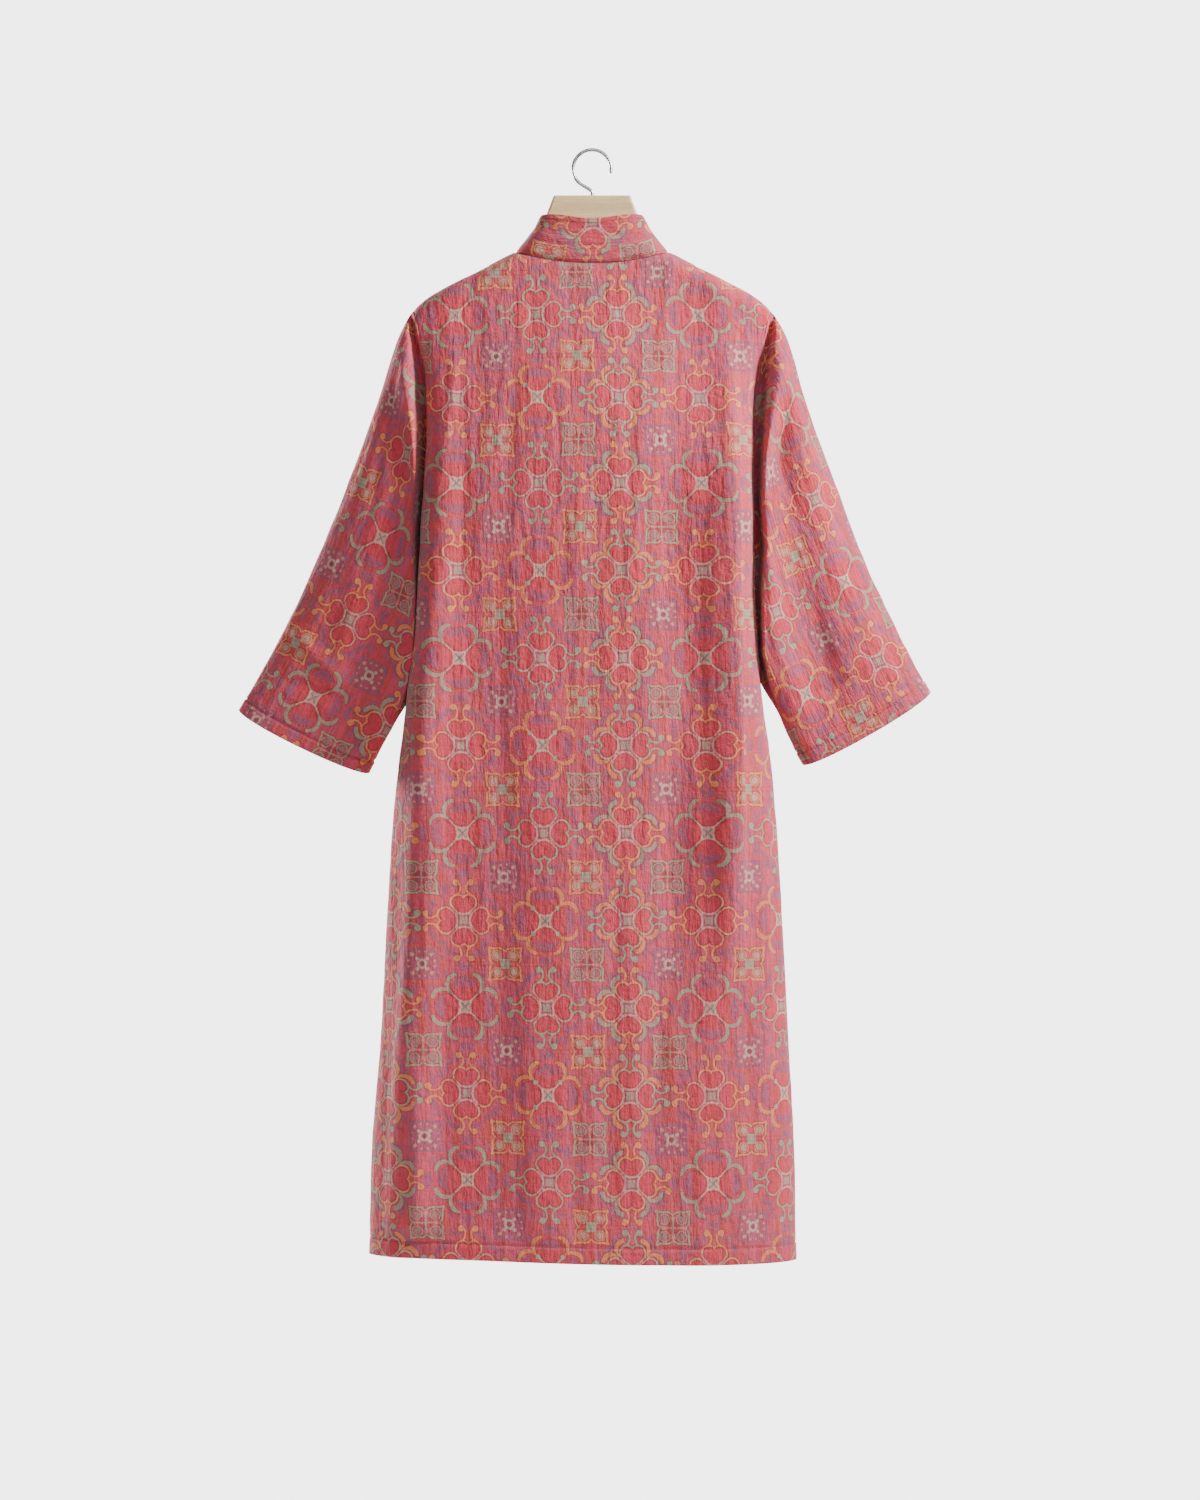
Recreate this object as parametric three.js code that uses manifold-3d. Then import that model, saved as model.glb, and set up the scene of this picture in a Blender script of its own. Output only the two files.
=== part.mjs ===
// A kimono bathrobe in layered cotton gauze, hung on a plain wooden hanger.
// Units are millimetres. The robe faces -Y, so its back panel looks along +Y, and +X is the wearer's left.
// Heights are measured up from the hem; the whole group is then lowered so that the origin is the spot
// inside the hook that rests on a rail.

import * as THREE from "three";
import Module from "manifold-3d";

const wasm = await Module();
wasm.setup();

// ---------------------------------------------------------------- driving dimensions

const CLOTH = 2.0; // wall of layered gauze
const BAND_CLOTH = 3.0; // the neck band is folded double
const SEAM = 0.3; // gap between two sewn pieces

const UNDERARM = 812; // height of the underarm point
const SHOULDER = { x: 198, height: 1040 }; // where the shoulder seam meets the sleeve
const NECK = { x: 84, height: 1105 }; // where the shoulder seam meets the neck band
const NAPE_HEIGHT = 1091; // neck seam at the centre back
const BAND_WIDTH = 50;
const ARMHOLE = { depth: 27, hollow: 11, square: 2.3 };

const HEM_RISE = 8;
const HOOK_SEAT = 1216; // height of the hook's inner top, which becomes the origin
const HANGER_TOP = 1167;

// The body tube: half widths on the wearer's left and right, and how far the back and front stand off the
// centre plane.
const BODY = [
  { height: 0, left: 239, right: 226, back: 76, front: 72 },
  { height: 120, left: 236, right: 223, back: 73, front: 70 },
  { height: 250, left: 227, right: 217, back: 71, front: 68 },
  { height: 380, left: 220, right: 210, back: 69, front: 66 },
  { height: 515, left: 209, right: 200, back: 67, front: 63 },
  { height: 612, left: 195, right: 187, back: 65, front: 61 },
  { height: 668, left: 188, right: 180, back: 64, front: 60 },
  { height: 780, left: 181, right: 175, back: 62, front: 57 },
  { height: 860, left: 180, right: 174, back: 61, front: 55 },
  { height: 1140, left: 180, right: 174, back: 56, front: 50 },
];
// How boxy the body's sections are: 2 is an ellipse. They are boxier where the hanger's arms spread them.
const BODY_SQUARE = { below: 2.5, shoulder: 5 };

// The line along the top of the shoulders, from the centre outwards.
const RIDGE = [
  { x: 0, height: 1122 },
  { x: 40, height: 1118 },
  { x: 84, height: 1105 },
  { x: 120, height: 1087 },
  { x: 160, height: 1067 },
  { x: 182, height: 1054 },
  { x: 198, height: 1040 },
];
const RIDGE_ROUND = 20; // the cloth's radius over the hanger
const SHOULDER_FALL = 235; // how far below the ridge the body reaches its full depth

// Each sleeve's rings: the outer and inner end of each ring, its half depth, its centre's shift to the back,
// and how much further back its inner end lies, where the sleeve rests behind the body's side.
const LEFT_SLEEVE = [
  { along: 0.0, outX: 198, outHeight: 1040, inX: 181, inHeight: 812, depth: 27, back: 0, tuck: 0 },
  { along: 0.07, outX: 214, outHeight: 1008, inX: 184, inHeight: 778, depth: 38, back: 3, tuck: 8 },
  { along: 0.2, outX: 233, outHeight: 948, inX: 183, inHeight: 736, depth: 41, back: 4, tuck: 24 },
  { along: 0.34, outX: 255, outHeight: 886, inX: 184, inHeight: 697, depth: 42, back: 3, tuck: 30 },
  { along: 0.48, outX: 280, outHeight: 820, inX: 188, inHeight: 660, depth: 42, back: 2, tuck: 30 },
  { along: 0.62, outX: 308, outHeight: 754, inX: 199, inHeight: 622, depth: 40, back: 1, tuck: 22 },
  { along: 0.76, outX: 337, outHeight: 694, inX: 214, inHeight: 590, depth: 37, back: 0, tuck: 12 },
  { along: 0.89, outX: 366, outHeight: 641, inX: 231, inHeight: 560, depth: 33, back: 0, tuck: 5 },
  { along: 1.0, outX: 388, outHeight: 602, inX: 245, inHeight: 533, depth: 29, back: 0, tuck: 0 },
];
const RIGHT_SLEEVE = [
  { along: 0.0, outX: 198, outHeight: 1040, inX: 175, inHeight: 812, depth: 27, back: 0, tuck: 0 },
  { along: 0.07, outX: 215, outHeight: 1008, inX: 178, inHeight: 778, depth: 38, back: 3, tuck: 8 },
  { along: 0.2, outX: 232, outHeight: 948, inX: 176, inHeight: 738, depth: 42, back: 4, tuck: 24 },
  { along: 0.34, outX: 253, outHeight: 888, inX: 177, inHeight: 700, depth: 44, back: 4, tuck: 30 },
  { along: 0.48, outX: 278, outHeight: 823, inX: 180, inHeight: 664, depth: 44, back: 3, tuck: 30 },
  { along: 0.62, outX: 303, outHeight: 758, inX: 191, inHeight: 628, depth: 43, back: 2, tuck: 22 },
  { along: 0.76, outX: 330, outHeight: 700, inX: 204, inHeight: 598, depth: 40, back: 1, tuck: 12 },
  { along: 0.89, outX: 353, outHeight: 655, inX: 217, inHeight: 569, depth: 36, back: 0, tuck: 5 },
  { along: 1.0, outX: 372, outHeight: 622, inX: 232, inHeight: 542, depth: 32, back: 0, tuck: 0 },
];
const SLEEVE_SQUARE = 2.1;
const CUFF_BOW = 8; // how far the cuff's middle hangs past the line between its ends

// Half width of each front at its band seam, and the way from that seam to the band's free edge. Above
// BAND_STANDS the band leaves the chest and stands round the neck, where freeY gives its distance forward.
const FRONT_SEAM = [
  { height: 0, x: 15 },
  { height: 560, x: 15 },
  { height: 700, x: 19 },
  { height: 830, x: 37 },
  { height: 950, x: 60 },
  { height: 1040, x: 76 },
  { height: 1105, x: 84 },
];
const BAND_REACH = [
  { height: 0, inward: 50, up: 0, freeY: 60 },
  { height: 560, inward: 50, up: 0, freeY: 60 },
  { height: 760, inward: 49.4, up: 6, freeY: 50 },
  { height: 950, inward: 48.8, up: 9, freeY: 40 },
  { height: 1000, inward: 47.5, up: 12, freeY: 38 },
  { height: 1050, inward: 41, up: 19, freeY: 34 },
  { height: 1080, inward: 34, up: 25, freeY: 28 },
  { height: 1096, inward: 27.5, up: 29, freeY: 18 },
  { height: 1105, inward: 24, up: 31, freeY: 0 },
];
const BAND_STANDS = { from: 960, to: 1050 };
// The band's free edge behind the neck: its height and distance back at the centre, and its half width.
const NAPE_BAND = { height: 1138, cornerHeight: 1143, back: 26, side: 60, sideHeight: 1136, square: 3.2 };
// The right front lies under the left one, set back by this depth between x = -from and the middle.
const LAP = { depth: 8, from: 100, to: 45, fadeFrom: 940, fadeTo: 1040 };

// The largest soft folds of the body, as ridges (out above 0) and troughs (out below 0) that run down it.
// x is the fold's middle at its top and foot, and spread is its half width.
const BODY_FOLDS = [
  { side: 1, topX: -148, footX: -166, top: 960, foot: 380, spread: 17, out: -6 },
  { side: 1, topX: -170, footX: -196, top: 900, foot: 200, spread: 13, out: 3 },
  { side: 1, topX: 172, footX: 214, top: 800, foot: 0, spread: 12, out: 4 },
  { side: 1, topX: 128, footX: 150, top: 880, foot: 120, spread: 26, out: -4 },
  { side: 1, topX: 30, footX: 44, top: 620, foot: 0, spread: 40, out: 3 },
  { side: 1, topX: -60, footX: -84, top: 560, foot: 0, spread: 34, out: -3.5 },
  { side: -1, topX: 140, footX: 168, top: 900, foot: 60, spread: 22, out: -7 },
  { side: -1, topX: 96, footX: 108, top: 760, foot: 0, spread: 28, out: 5 },
  { side: -1, topX: -138, footX: -160, top: 880, foot: 40, spread: 22, out: -7 },
  { side: -1, topX: -98, footX: -112, top: 700, foot: 0, spread: 26, out: 4 },
];

// The folds along a sleeve: turn is the place round the ring as a share of half a turn from the outer edge
// (0) to the underarm edge (1), on the back (side 1) or the front.
const SLEEVE_FOLDS = [
  { side: 1, headTurn: 0.52, footTurn: 0.87, head: 0.0, foot: 0.78, spread: 0.055, out: 6 },
  { side: 1, headTurn: 0.36, footTurn: 0.72, head: 0.0, foot: 0.72, spread: 0.07, out: -6 },
  { side: -1, headTurn: 0.45, footTurn: 0.82, head: 0.0, foot: 0.8, spread: 0.07, out: 5 },
  { side: -1, headTurn: 0.3, footTurn: 0.62, head: 0.0, foot: 0.8, spread: 0.08, out: -6 },
];

// How finely the cloth is cut up.
const BODY_ROWS = 11; // hem to underarm
const ARMHOLE_ROWS = 12; // underarm to shoulder
const NECK_COLUMNS = 5; // centre back to the end of the neck seam
const SHOULDER_COLUMNS = 11;
const FRONT_COLUMNS = 14;
const SLEEVE_RINGS = 13;
const BAND_COLUMNS = 3;

// ---------------------------------------------------------------- small helpers

const clamp01 = (t) => Math.min(1, Math.max(0, t));
const mix = (a, b, t) => a + (b - a) * t;
const smooth = (from, to, value) => {
  const t = clamp01((value - from) / (to - from));
  return t * t * (3 - 2 * t);
};

// A smooth curve through one column of a table, read at a value of its key column.
function read(table, key, column, at) {
  const last = table.length - 1;
  let i = 0;
  while (i < last - 1 && at > table[i + 1][key]) i += 1;
  const slope = (k) => {
    const a = table[Math.max(0, k - 1)];
    const b = table[Math.min(last, k + 1)];
    return (b[column] - a[column]) / (b[key] - a[key]);
  };
  const [p, q] = [table[i], table[i + 1]];
  const span = q[key] - p[key];
  const t = clamp01((at - p[key]) / span);
  const [t2, t3] = [t * t, t * t * t];
  return (
    (2 * t3 - 3 * t2 + 1) * p[column] +
    (t3 - 2 * t2 + t) * span * slope(i) +
    (3 * t2 - 2 * t3) * q[column] +
    (t3 - t2) * span * slope(i + 1)
  );
}

const power = (value, exponent) => Math.sign(value) * Math.abs(value) ** exponent;

// ---------------------------------------------------------------- the body's surface

const ridge = (x) => read(RIDGE, "x", "height", Math.min(Math.abs(x), SHOULDER.x));
const halfWidth = (x, height) => read(BODY, "height", x >= 0 ? "left" : "right", height);

// How much of the body's full depth it has at a drop below the ridge: round over the hanger, then filling.
function fullness(drop, depth) {
  const d = Math.max(0, drop);
  const top = RIDGE_ROUND / depth;
  if (d < RIDGE_ROUND) return (top * Math.sqrt(d * (2 * RIDGE_ROUND - d))) / RIDGE_ROUND;
  const straight = clamp01((d - RIDGE_ROUND) / SHOULDER_FALL);
  return mix(top, 1, smooth(RIDGE_ROUND, SHOULDER_FALL, d) * 0.7 + straight * 0.3);
}

function foldOut(side, x, height) {
  let out = 0;
  for (const fold of BODY_FOLDS) {
    if (fold.side !== side) continue;
    const t = (fold.top - height) / (fold.top - fold.foot);
    const middle = mix(fold.topX, fold.footX, Math.min(1.3, Math.max(-0.2, t)));
    const fade = smooth(-0.1, 0.35, t) * (fold.foot > 0 ? 1 - smooth(0.75, 1.15, t) : 1);
    out += fold.out * fade * Math.exp(-(((x - middle) / fold.spread) ** 2));
  }
  return out;
}

// The y of the cloth's outer face. edgeY is where the panel's side edge lies, and share how far x is
// towards that edge.
function bodyY(side, x, height, share, edgeY) {
  const depth = read(BODY, "height", side > 0 ? "back" : "front", height);
  const open = (depth + foldOut(side, x, height)) * fullness(ridge(x) - height, depth);
  const square = mix(BODY_SQUARE.below, BODY_SQUARE.shoulder, smooth(UNDERARM, SHOULDER.height, height));
  const round = Math.max(0, 1 - Math.abs(share) ** square) ** (1 / square);
  return side * Math.cbrt((open * round) ** 3 + (edgeY * Math.abs(share) ** 8) ** 3);
}

const lapBack = (x, height) =>
  LAP.depth * smooth(-LAP.from, -LAP.to, x) * (1 - smooth(LAP.fadeFrom, LAP.fadeTo, height));

// ---------------------------------------------------------------- the armhole, which body and sleeve share

// turn runs from 0 at the shoulder to 1 at the underarm.
function armholePoint(hand, side, turn) {
  const under = hand > 0 ? LEFT_SLEEVE[0].inX : RIGHT_SLEEVE[0].inX;
  const angle = Math.PI * turn;
  const along = power(Math.cos(angle), 2 / ARMHOLE.square);
  const deep = power(Math.sin(angle), 2 / ARMHOLE.square);
  const x = mix(under, SHOULDER.x, (1 + along) / 2) - ARMHOLE.hollow * (1 - along * along);
  const height = mix(UNDERARM, SHOULDER.height, (1 + along) / 2);
  return new THREE.Vector3(hand * x, side * Math.max(ARMHOLE.depth * deep, SEAM / 2), height);
}

// The way from the armhole's seam into the armhole, in which both walls get their thickness there.
function armholeInward(hand, side, turn) {
  const angle = Math.PI * turn;
  return new THREE.Vector3(0, -side * Math.sin(angle), -Math.cos(angle)).normalize();
}

// ---------------------------------------------------------------- walls from grids of points

// Unit normals of a grid of points, by central differences, pointing away from the cloth's inside.
function normalsOf(points, wrap, flip) {
  const rows = points.length;
  const columns = points[0].length;
  const at = (i, j) => points[i][wrap ? (j + columns) % columns : Math.min(columns - 1, Math.max(0, j))];
  return points.map((row, i) =>
    row.map((_, j) => {
      const up = points[Math.min(rows - 1, i + 1)][j].clone().sub(points[Math.max(0, i - 1)][j]);
      const across = at(i, j + 1).clone().sub(at(i, j - 1));
      return up.cross(across).normalize().multiplyScalar(flip);
    }),
  );
}

// The robe hangs a little skewed: its hem is higher on the wearer's left.
function settled(p) {
  p.z += HEM_RISE * smooth(-140, 240, p.x) * clamp01(1 - p.z / 400);
  return p;
}

// A closed wall: the grid of outer points, and the same grid moved in by the thickness.
function wallGeometry(outer, inward, thickness, wrap) {
  const rows = outer.length;
  const columns = outer[0].length;
  const positions = [];
  for (const row of outer) for (const p of row) positions.push(...settled(p.clone()));
  outer.forEach((row, i) =>
    row.forEach((p, j) => {
      positions.push(...settled(p.clone().addScaledVector(inward[i][j], thickness)));
    }),
  );
  const inner = rows * columns;
  const id = (i, j) => i * columns + (j % columns);
  const faces = [];
  const quad = (a, b, c, d) => faces.push(a, b, c, a, c, d);
  const last = wrap ? columns : columns - 1;
  for (let i = 0; i < rows - 1; i += 1) {
    for (let j = 0; j < last; j += 1) {
      const [a, b, c, d] = [id(i, j), id(i, j + 1), id(i + 1, j + 1), id(i + 1, j)];
      quad(a, b, c, d);
      quad(inner + a, inner + d, inner + c, inner + b);
    }
  }
  for (let j = 0; j < last; j += 1) {
    const [a, b] = [id(0, j), id(0, j + 1)];
    const [c, d] = [id(rows - 1, j), id(rows - 1, j + 1)];
    quad(b, a, inner + a, inner + b);
    quad(c, d, inner + d, inner + c);
  }
  if (!wrap) {
    for (let i = 0; i < rows - 1; i += 1) {
      const [a, b] = [id(i, 0), id(i + 1, 0)];
      const [c, d] = [id(i, columns - 1), id(i + 1, columns - 1)];
      quad(a, b, inner + b, inner + a);
      quad(d, c, inner + c, inner + d);
    }
  }
  return facingOut(positions, faces);
}

// Turns all faces round where the closed mesh is inside out.
function facingOut(positions, faces) {
  let volume = 0;
  const corner = (k) => new THREE.Vector3().fromArray(positions, 3 * k);
  for (let f = 0; f < faces.length; f += 3) {
    const [a, b, c] = [corner(faces[f]), corner(faces[f + 1]), corner(faces[f + 2])];
    volume += a.dot(b.cross(c));
  }
  for (let f = 0; volume < 0 && f < faces.length; f += 3) {
    [faces[f], faces[f + 1]] = [faces[f + 1], faces[f]];
  }
  const geometry = new THREE.BufferGeometry();
  geometry.setAttribute("position", new THREE.Float32BufferAttribute(positions, 3));
  geometry.setIndex(faces);
  return geometry;
}

// ---------------------------------------------------------------- rows and columns that pieces share

const bodyHeights = Array.from({ length: BODY_ROWS + 1 }, (_, i) => (UNDERARM * i) / BODY_ROWS);
const armholeTurns = Array.from({ length: ARMHOLE_ROWS + 1 }, (_, i) => 1 - i / ARMHOLE_ROWS);
const denser = (t) => 1 - (1 - t) ** 2;

// The rows of a body panel, hem to shoulder. lift is 0 up to the underarm and 1 at the shoulder.
const panelRows = [
  ...bodyHeights.map((height) => ({ height, lift: 0, turn: 1 })),
  ...armholeTurns.slice(1).map((turn) => {
    const height = armholePoint(1, 1, turn).z;
    return { height, turn, lift: (height - UNDERARM) / (SHOULDER.height - UNDERARM) };
  }),
];

// The side or armhole end of a row.
function rowEnd(hand, side, row) {
  if (row.lift > 0) return armholePoint(hand, side, row.turn);
  return new THREE.Vector3(hand * halfWidth(hand, row.height), (side * SEAM) / 2, row.height);
}

// The way in which a panel's wall gets its thickness at that end.
function rowEndInward(hand, side, row) {
  return row.lift > 0 ? armholeInward(hand, side, row.turn) : new THREE.Vector3(-hand, 0, 0);
}

const shoulderShares = Array.from({ length: SHOULDER_COLUMNS }, (_, k) =>
  mix(NECK.x / SHOULDER.x, 1, denser((k + 1) / SHOULDER_COLUMNS)),
);
const neckShares = Array.from(
  { length: NECK_COLUMNS + 1 },
  (_, k) => (NECK.x / SHOULDER.x) * Math.sin((Math.PI / 2) * (k / NECK_COLUMNS)),
);
const backShares = [...neckShares, ...shoulderShares];
const backColumns = [...backShares.slice(1).reverse().map((s) => -s), ...backShares];

// The back's top edge: the shoulder line, dipping to the nape between the two ends of the neck seam.
const backTop = (x) =>
  Math.abs(x) >= NECK.x ? ridge(x) : mix(NAPE_HEIGHT, NECK.height, (Math.abs(x) / NECK.x) ** 2.4);

// ---------------------------------------------------------------- the pieces of cloth

function backPoint(row, share) {
  const hand = share >= 0 ? 1 : -1;
  const end = rowEnd(hand, 1, row);
  const x = Math.abs(share) * end.x;
  const topX = share * SHOULDER.x;
  const height = row.lift > 0 ? mix(UNDERARM, backTop(topX), row.lift) : row.height;
  if (Math.abs(share) === 1) return end;
  return new THREE.Vector3(x, Math.max(SEAM / 2, bodyY(1, x, height, share, end.y)), height);
}

function backPanel() {
  const outer = panelRows.map((row) => backColumns.map((share) => backPoint(row, share)));
  const inward = normalsOf(outer, false, 1).map((row) => row.map((n) => n.negate()));
  if (inward[4][backColumns.length >> 1].y > 0) inward.forEach((row) => row.forEach((n) => n.negate()));
  const lastColumn = backColumns.length - 1;
  panelRows.forEach((row, i) => {
    inward[i][0] = rowEndInward(-1, 1, row);
    inward[i][lastColumn] = rowEndInward(1, 1, row);
  });
  const top = panelRows.length - 1;
  backColumns.forEach((share, j) => {
    const x = Math.abs(share * SHOULDER.x);
    if (x > NECK.x + 1) inward[top][j] = new THREE.Vector3(0, 0, -1);
    else inward[top][j] = neckInward(clamp01(x / NECK.x), Math.sign(share));
  });
  return wallGeometry(outer, inward, CLOTH, false);
}

// Inward on the neck seam, halfway between the shoulder's cloth and the standing band; share is 0 at the
// nape and 1 at the neck's side.
function neckInward(share, hand) {
  const angle = (share ** 2 * Math.PI) / 2;
  const [sin, cos] = [Math.sin(angle), Math.cos(angle)];
  return new THREE.Vector3(-hand * 0.65 * sin, -cos, -0.76 * sin).normalize();
}

// A front's seam with the band, for a row of the panel.
function frontSeam(hand, row) {
  const height = row.lift > 0 ? mix(UNDERARM, NECK.height, row.lift) : row.height;
  const x = hand * read(FRONT_SEAM, "height", "x", height);
  if (row.lift === 1) return new THREE.Vector3(hand * NECK.x, -SEAM / 2, NECK.height);
  return frontPoint(hand, x, height);
}

function frontPoint(hand, x, height) {
  const share = clamp01(Math.abs(x) / halfWidth(x, Math.min(height, 860)));
  const y = Math.min(-SEAM / 2, bodyY(-1, x, height, share, 0));
  return new THREE.Vector3(x, y + (hand < 0 ? lapBack(x, height) : 0), height);
}

function frontPanel(hand) {
  const columns = Array.from({ length: FRONT_COLUMNS + 1 }, (_, k) => denser(k / FRONT_COLUMNS));
  const outer = panelRows.map((row) => {
    const seam = frontSeam(hand, row);
    const end = rowEnd(hand, -1, row);
    return columns.map((share) => {
      if (share === 1) return end;
      const x = mix(seam.x + hand * SEAM, end.x, share);
      const topX = mix(NECK.x, SHOULDER.x, share);
      const height = row.lift > 0 ? mix(UNDERARM, ridge(topX), row.lift) : row.height;
      const y = bodyY(-1, x, height, clamp01(x / end.x), -end.y);
      const back = hand < 0 ? lapBack(x, height) : 0;
      return new THREE.Vector3(x, Math.min(-SEAM / 2, y + back), height);
    });
  });
  const inward = normalsOf(outer, false, 1).map((row) => row.map((n) => n.negate()));
  if (inward[4][2].y < 0) inward.forEach((row) => row.forEach((n) => n.negate()));
  panelRows.forEach((row, i) => {
    inward[i][FRONT_COLUMNS] = rowEndInward(hand, -1, row);
  });
  const top = panelRows.length - 1;
  columns.forEach((_, j) => {
    inward[top][j] = j === 0 ? neckInward(1, hand) : new THREE.Vector3(0, 0, -1);
  });
  return wallGeometry(outer, inward, CLOTH, false);
}

function sleeve(hand) {
  const table = hand > 0 ? LEFT_SLEEVE : RIGHT_SLEEVE;
  const turns = [];
  for (let k = 0; k < ARMHOLE_ROWS; k += 1) turns.push({ side: 1, turn: k / ARMHOLE_ROWS });
  for (let k = 0; k < ARMHOLE_ROWS; k += 1) turns.push({ side: -1, turn: 1 - k / ARMHOLE_ROWS });
  const outer = Array.from({ length: SLEEVE_RINGS + 1 }, (_, i) => {
    const along = (i / SLEEVE_RINGS) ** 1.15;
    return turns.map(({ side, turn }) => sleevePoint(table, hand, along, side, turn));
  });
  const inward = normalsOf(outer, true, 1).map((row) => row.map((n) => n.negate()));
  const middle = SLEEVE_RINGS >> 1;
  const back = ARMHOLE_ROWS >> 1;
  if (inward[middle][back].y > 0) inward.forEach((row) => row.forEach((n) => n.negate()));
  turns.forEach(({ side, turn }, j) => {
    inward[0][j] = armholeInward(hand, turn === 0 || turn === 1 ? 1 : side, turn);
  });
  return wallGeometry(outer, inward, CLOTH, true);
}

function sleevePoint(table, hand, along, side, turn) {
  const value = (column) => read(table, "along", column, along);
  const angle = Math.PI * turn;
  const ends = power(Math.cos(angle), 2 / SLEEVE_SQUARE);
  const deep = power(Math.sin(angle), 2 / SLEEVE_SQUARE);
  let out = 0;
  for (const fold of SLEEVE_FOLDS) {
    if (fold.side !== side) continue;
    const t = (along - fold.head) / (fold.foot - fold.head);
    const middle = mix(fold.headTurn, fold.footTurn, clamp01(t));
    const fade = smooth(0, 0.18, t) * (1 - smooth(0.7, 1.05, t));
    out += fold.out * fade * Math.exp(-(((turn - middle) / fold.spread) ** 2));
  }
  const x = mix(value("inX"), value("outX"), (1 + ends) / 2);
  const height = mix(value("inHeight"), value("outHeight"), (1 + ends) / 2);
  const y = side * deep * (value("depth") + out) + value("back") + (value("tuck") * (1 - ends)) / 2;
  const bow = CUFF_BOW * smooth(0.7, 1, along) * Math.sin(angle) * (side > 0 ? 1 : 0.6);
  const free = new THREE.Vector3(hand * (x + 0.43 * bow), y, height - 0.9 * bow);
  const seam = armholePoint(hand, side, turn);
  if (turn === 0 || turn === 1) seam.y = 0;
  seam.x += hand * SEAM;
  return seam.lerp(free, smooth(0, 0.07, along));
}

// The band runs from the left hem up the front, round the neck and down to the right hem. Each station has
// its seam point, its free edge and the way into the cloth.
function bandStations() {
  const frontStation = (hand) => (row) => {
    const seam = frontSeam(hand, row);
    const reach = (column) => read(BAND_REACH, "height", column, seam.z);
    const x = seam.x - hand * reach("inward");
    const height = seam.z + reach("up");
    const lying = frontPoint(hand, x, height).y;
    const standing = -reach("freeY");
    const y = mix(lying, standing, smooth(BAND_STANDS.from, BAND_STANDS.to, seam.z));
    const free = new THREE.Vector3(x, y, height);
    const away = free.clone().sub(seam).normalize().multiplyScalar(SEAM);
    return { seam: seam.add(away), free };
  };
  const napeStation = (share) => {
    const x = share * NECK.x;
    const seam = backPoint(panelRows.at(-1), (share * NECK.x) / SHOULDER.x);
    const side = Math.abs(share);
    const angle = (side ** 1.5 * Math.PI) / 2;
    const freeX = Math.sign(x) * NAPE_BAND.side * Math.sin(angle) ** (2 / NAPE_BAND.square);
    const freeY = NAPE_BAND.back * Math.cos(angle) ** (2 / NAPE_BAND.square);
    const rise = (NAPE_BAND.cornerHeight - NAPE_BAND.height) * smooth(0, 0.6, side);
    const fall = (NAPE_BAND.cornerHeight - NAPE_BAND.sideHeight) * smooth(0.75, 1, side);
    const free = new THREE.Vector3(freeX, freeY, NAPE_BAND.height + rise - fall);
    const away = free.clone().sub(seam).normalize().multiplyScalar(SEAM);
    return { seam: seam.add(away), free };
  };
  const nape = neckShares.map((s) => (s * SHOULDER.x) / NECK.x);
  const napeShares = [...nape.slice(0, -1).reverse(), ...nape.slice(1, -1).map((s) => -s)];
  return [
    ...panelRows.map(frontStation(1)),
    ...napeShares.map(napeStation),
    ...[...panelRows].reverse().map(frontStation(-1)),
  ];
}

function neckBand() {
  const stations = bandStations();
  const outer = stations.map(({ seam, free }) =>
    Array.from({ length: BAND_COLUMNS + 1 }, (_, k) => seam.clone().lerp(free, k / BAND_COLUMNS)),
  );
  const inward = normalsOf(outer, false, 1).map((row) => row.map((n) => n.negate()));
  if (inward[4][1].y < 0) inward.forEach((row) => row.forEach((n) => n.negate()));
  return wallGeometry(outer, inward, BAND_CLOTH, false);
}

// ---------------------------------------------------------------- the hanger

const WOOD = {
  neckTop: 42, // half width at the flat top
  neckFoot: 52,
  neckFootHeight: 1141,
  neckThick: 8, // half thickness
  armEnd: 178,
  armThick: 11.5,
  armGap: 1.5, // below the cloth's inner face
};
const HOOK = { wire: 1.9, radius: 19, sunk: 14, sides: 10 };

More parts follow.
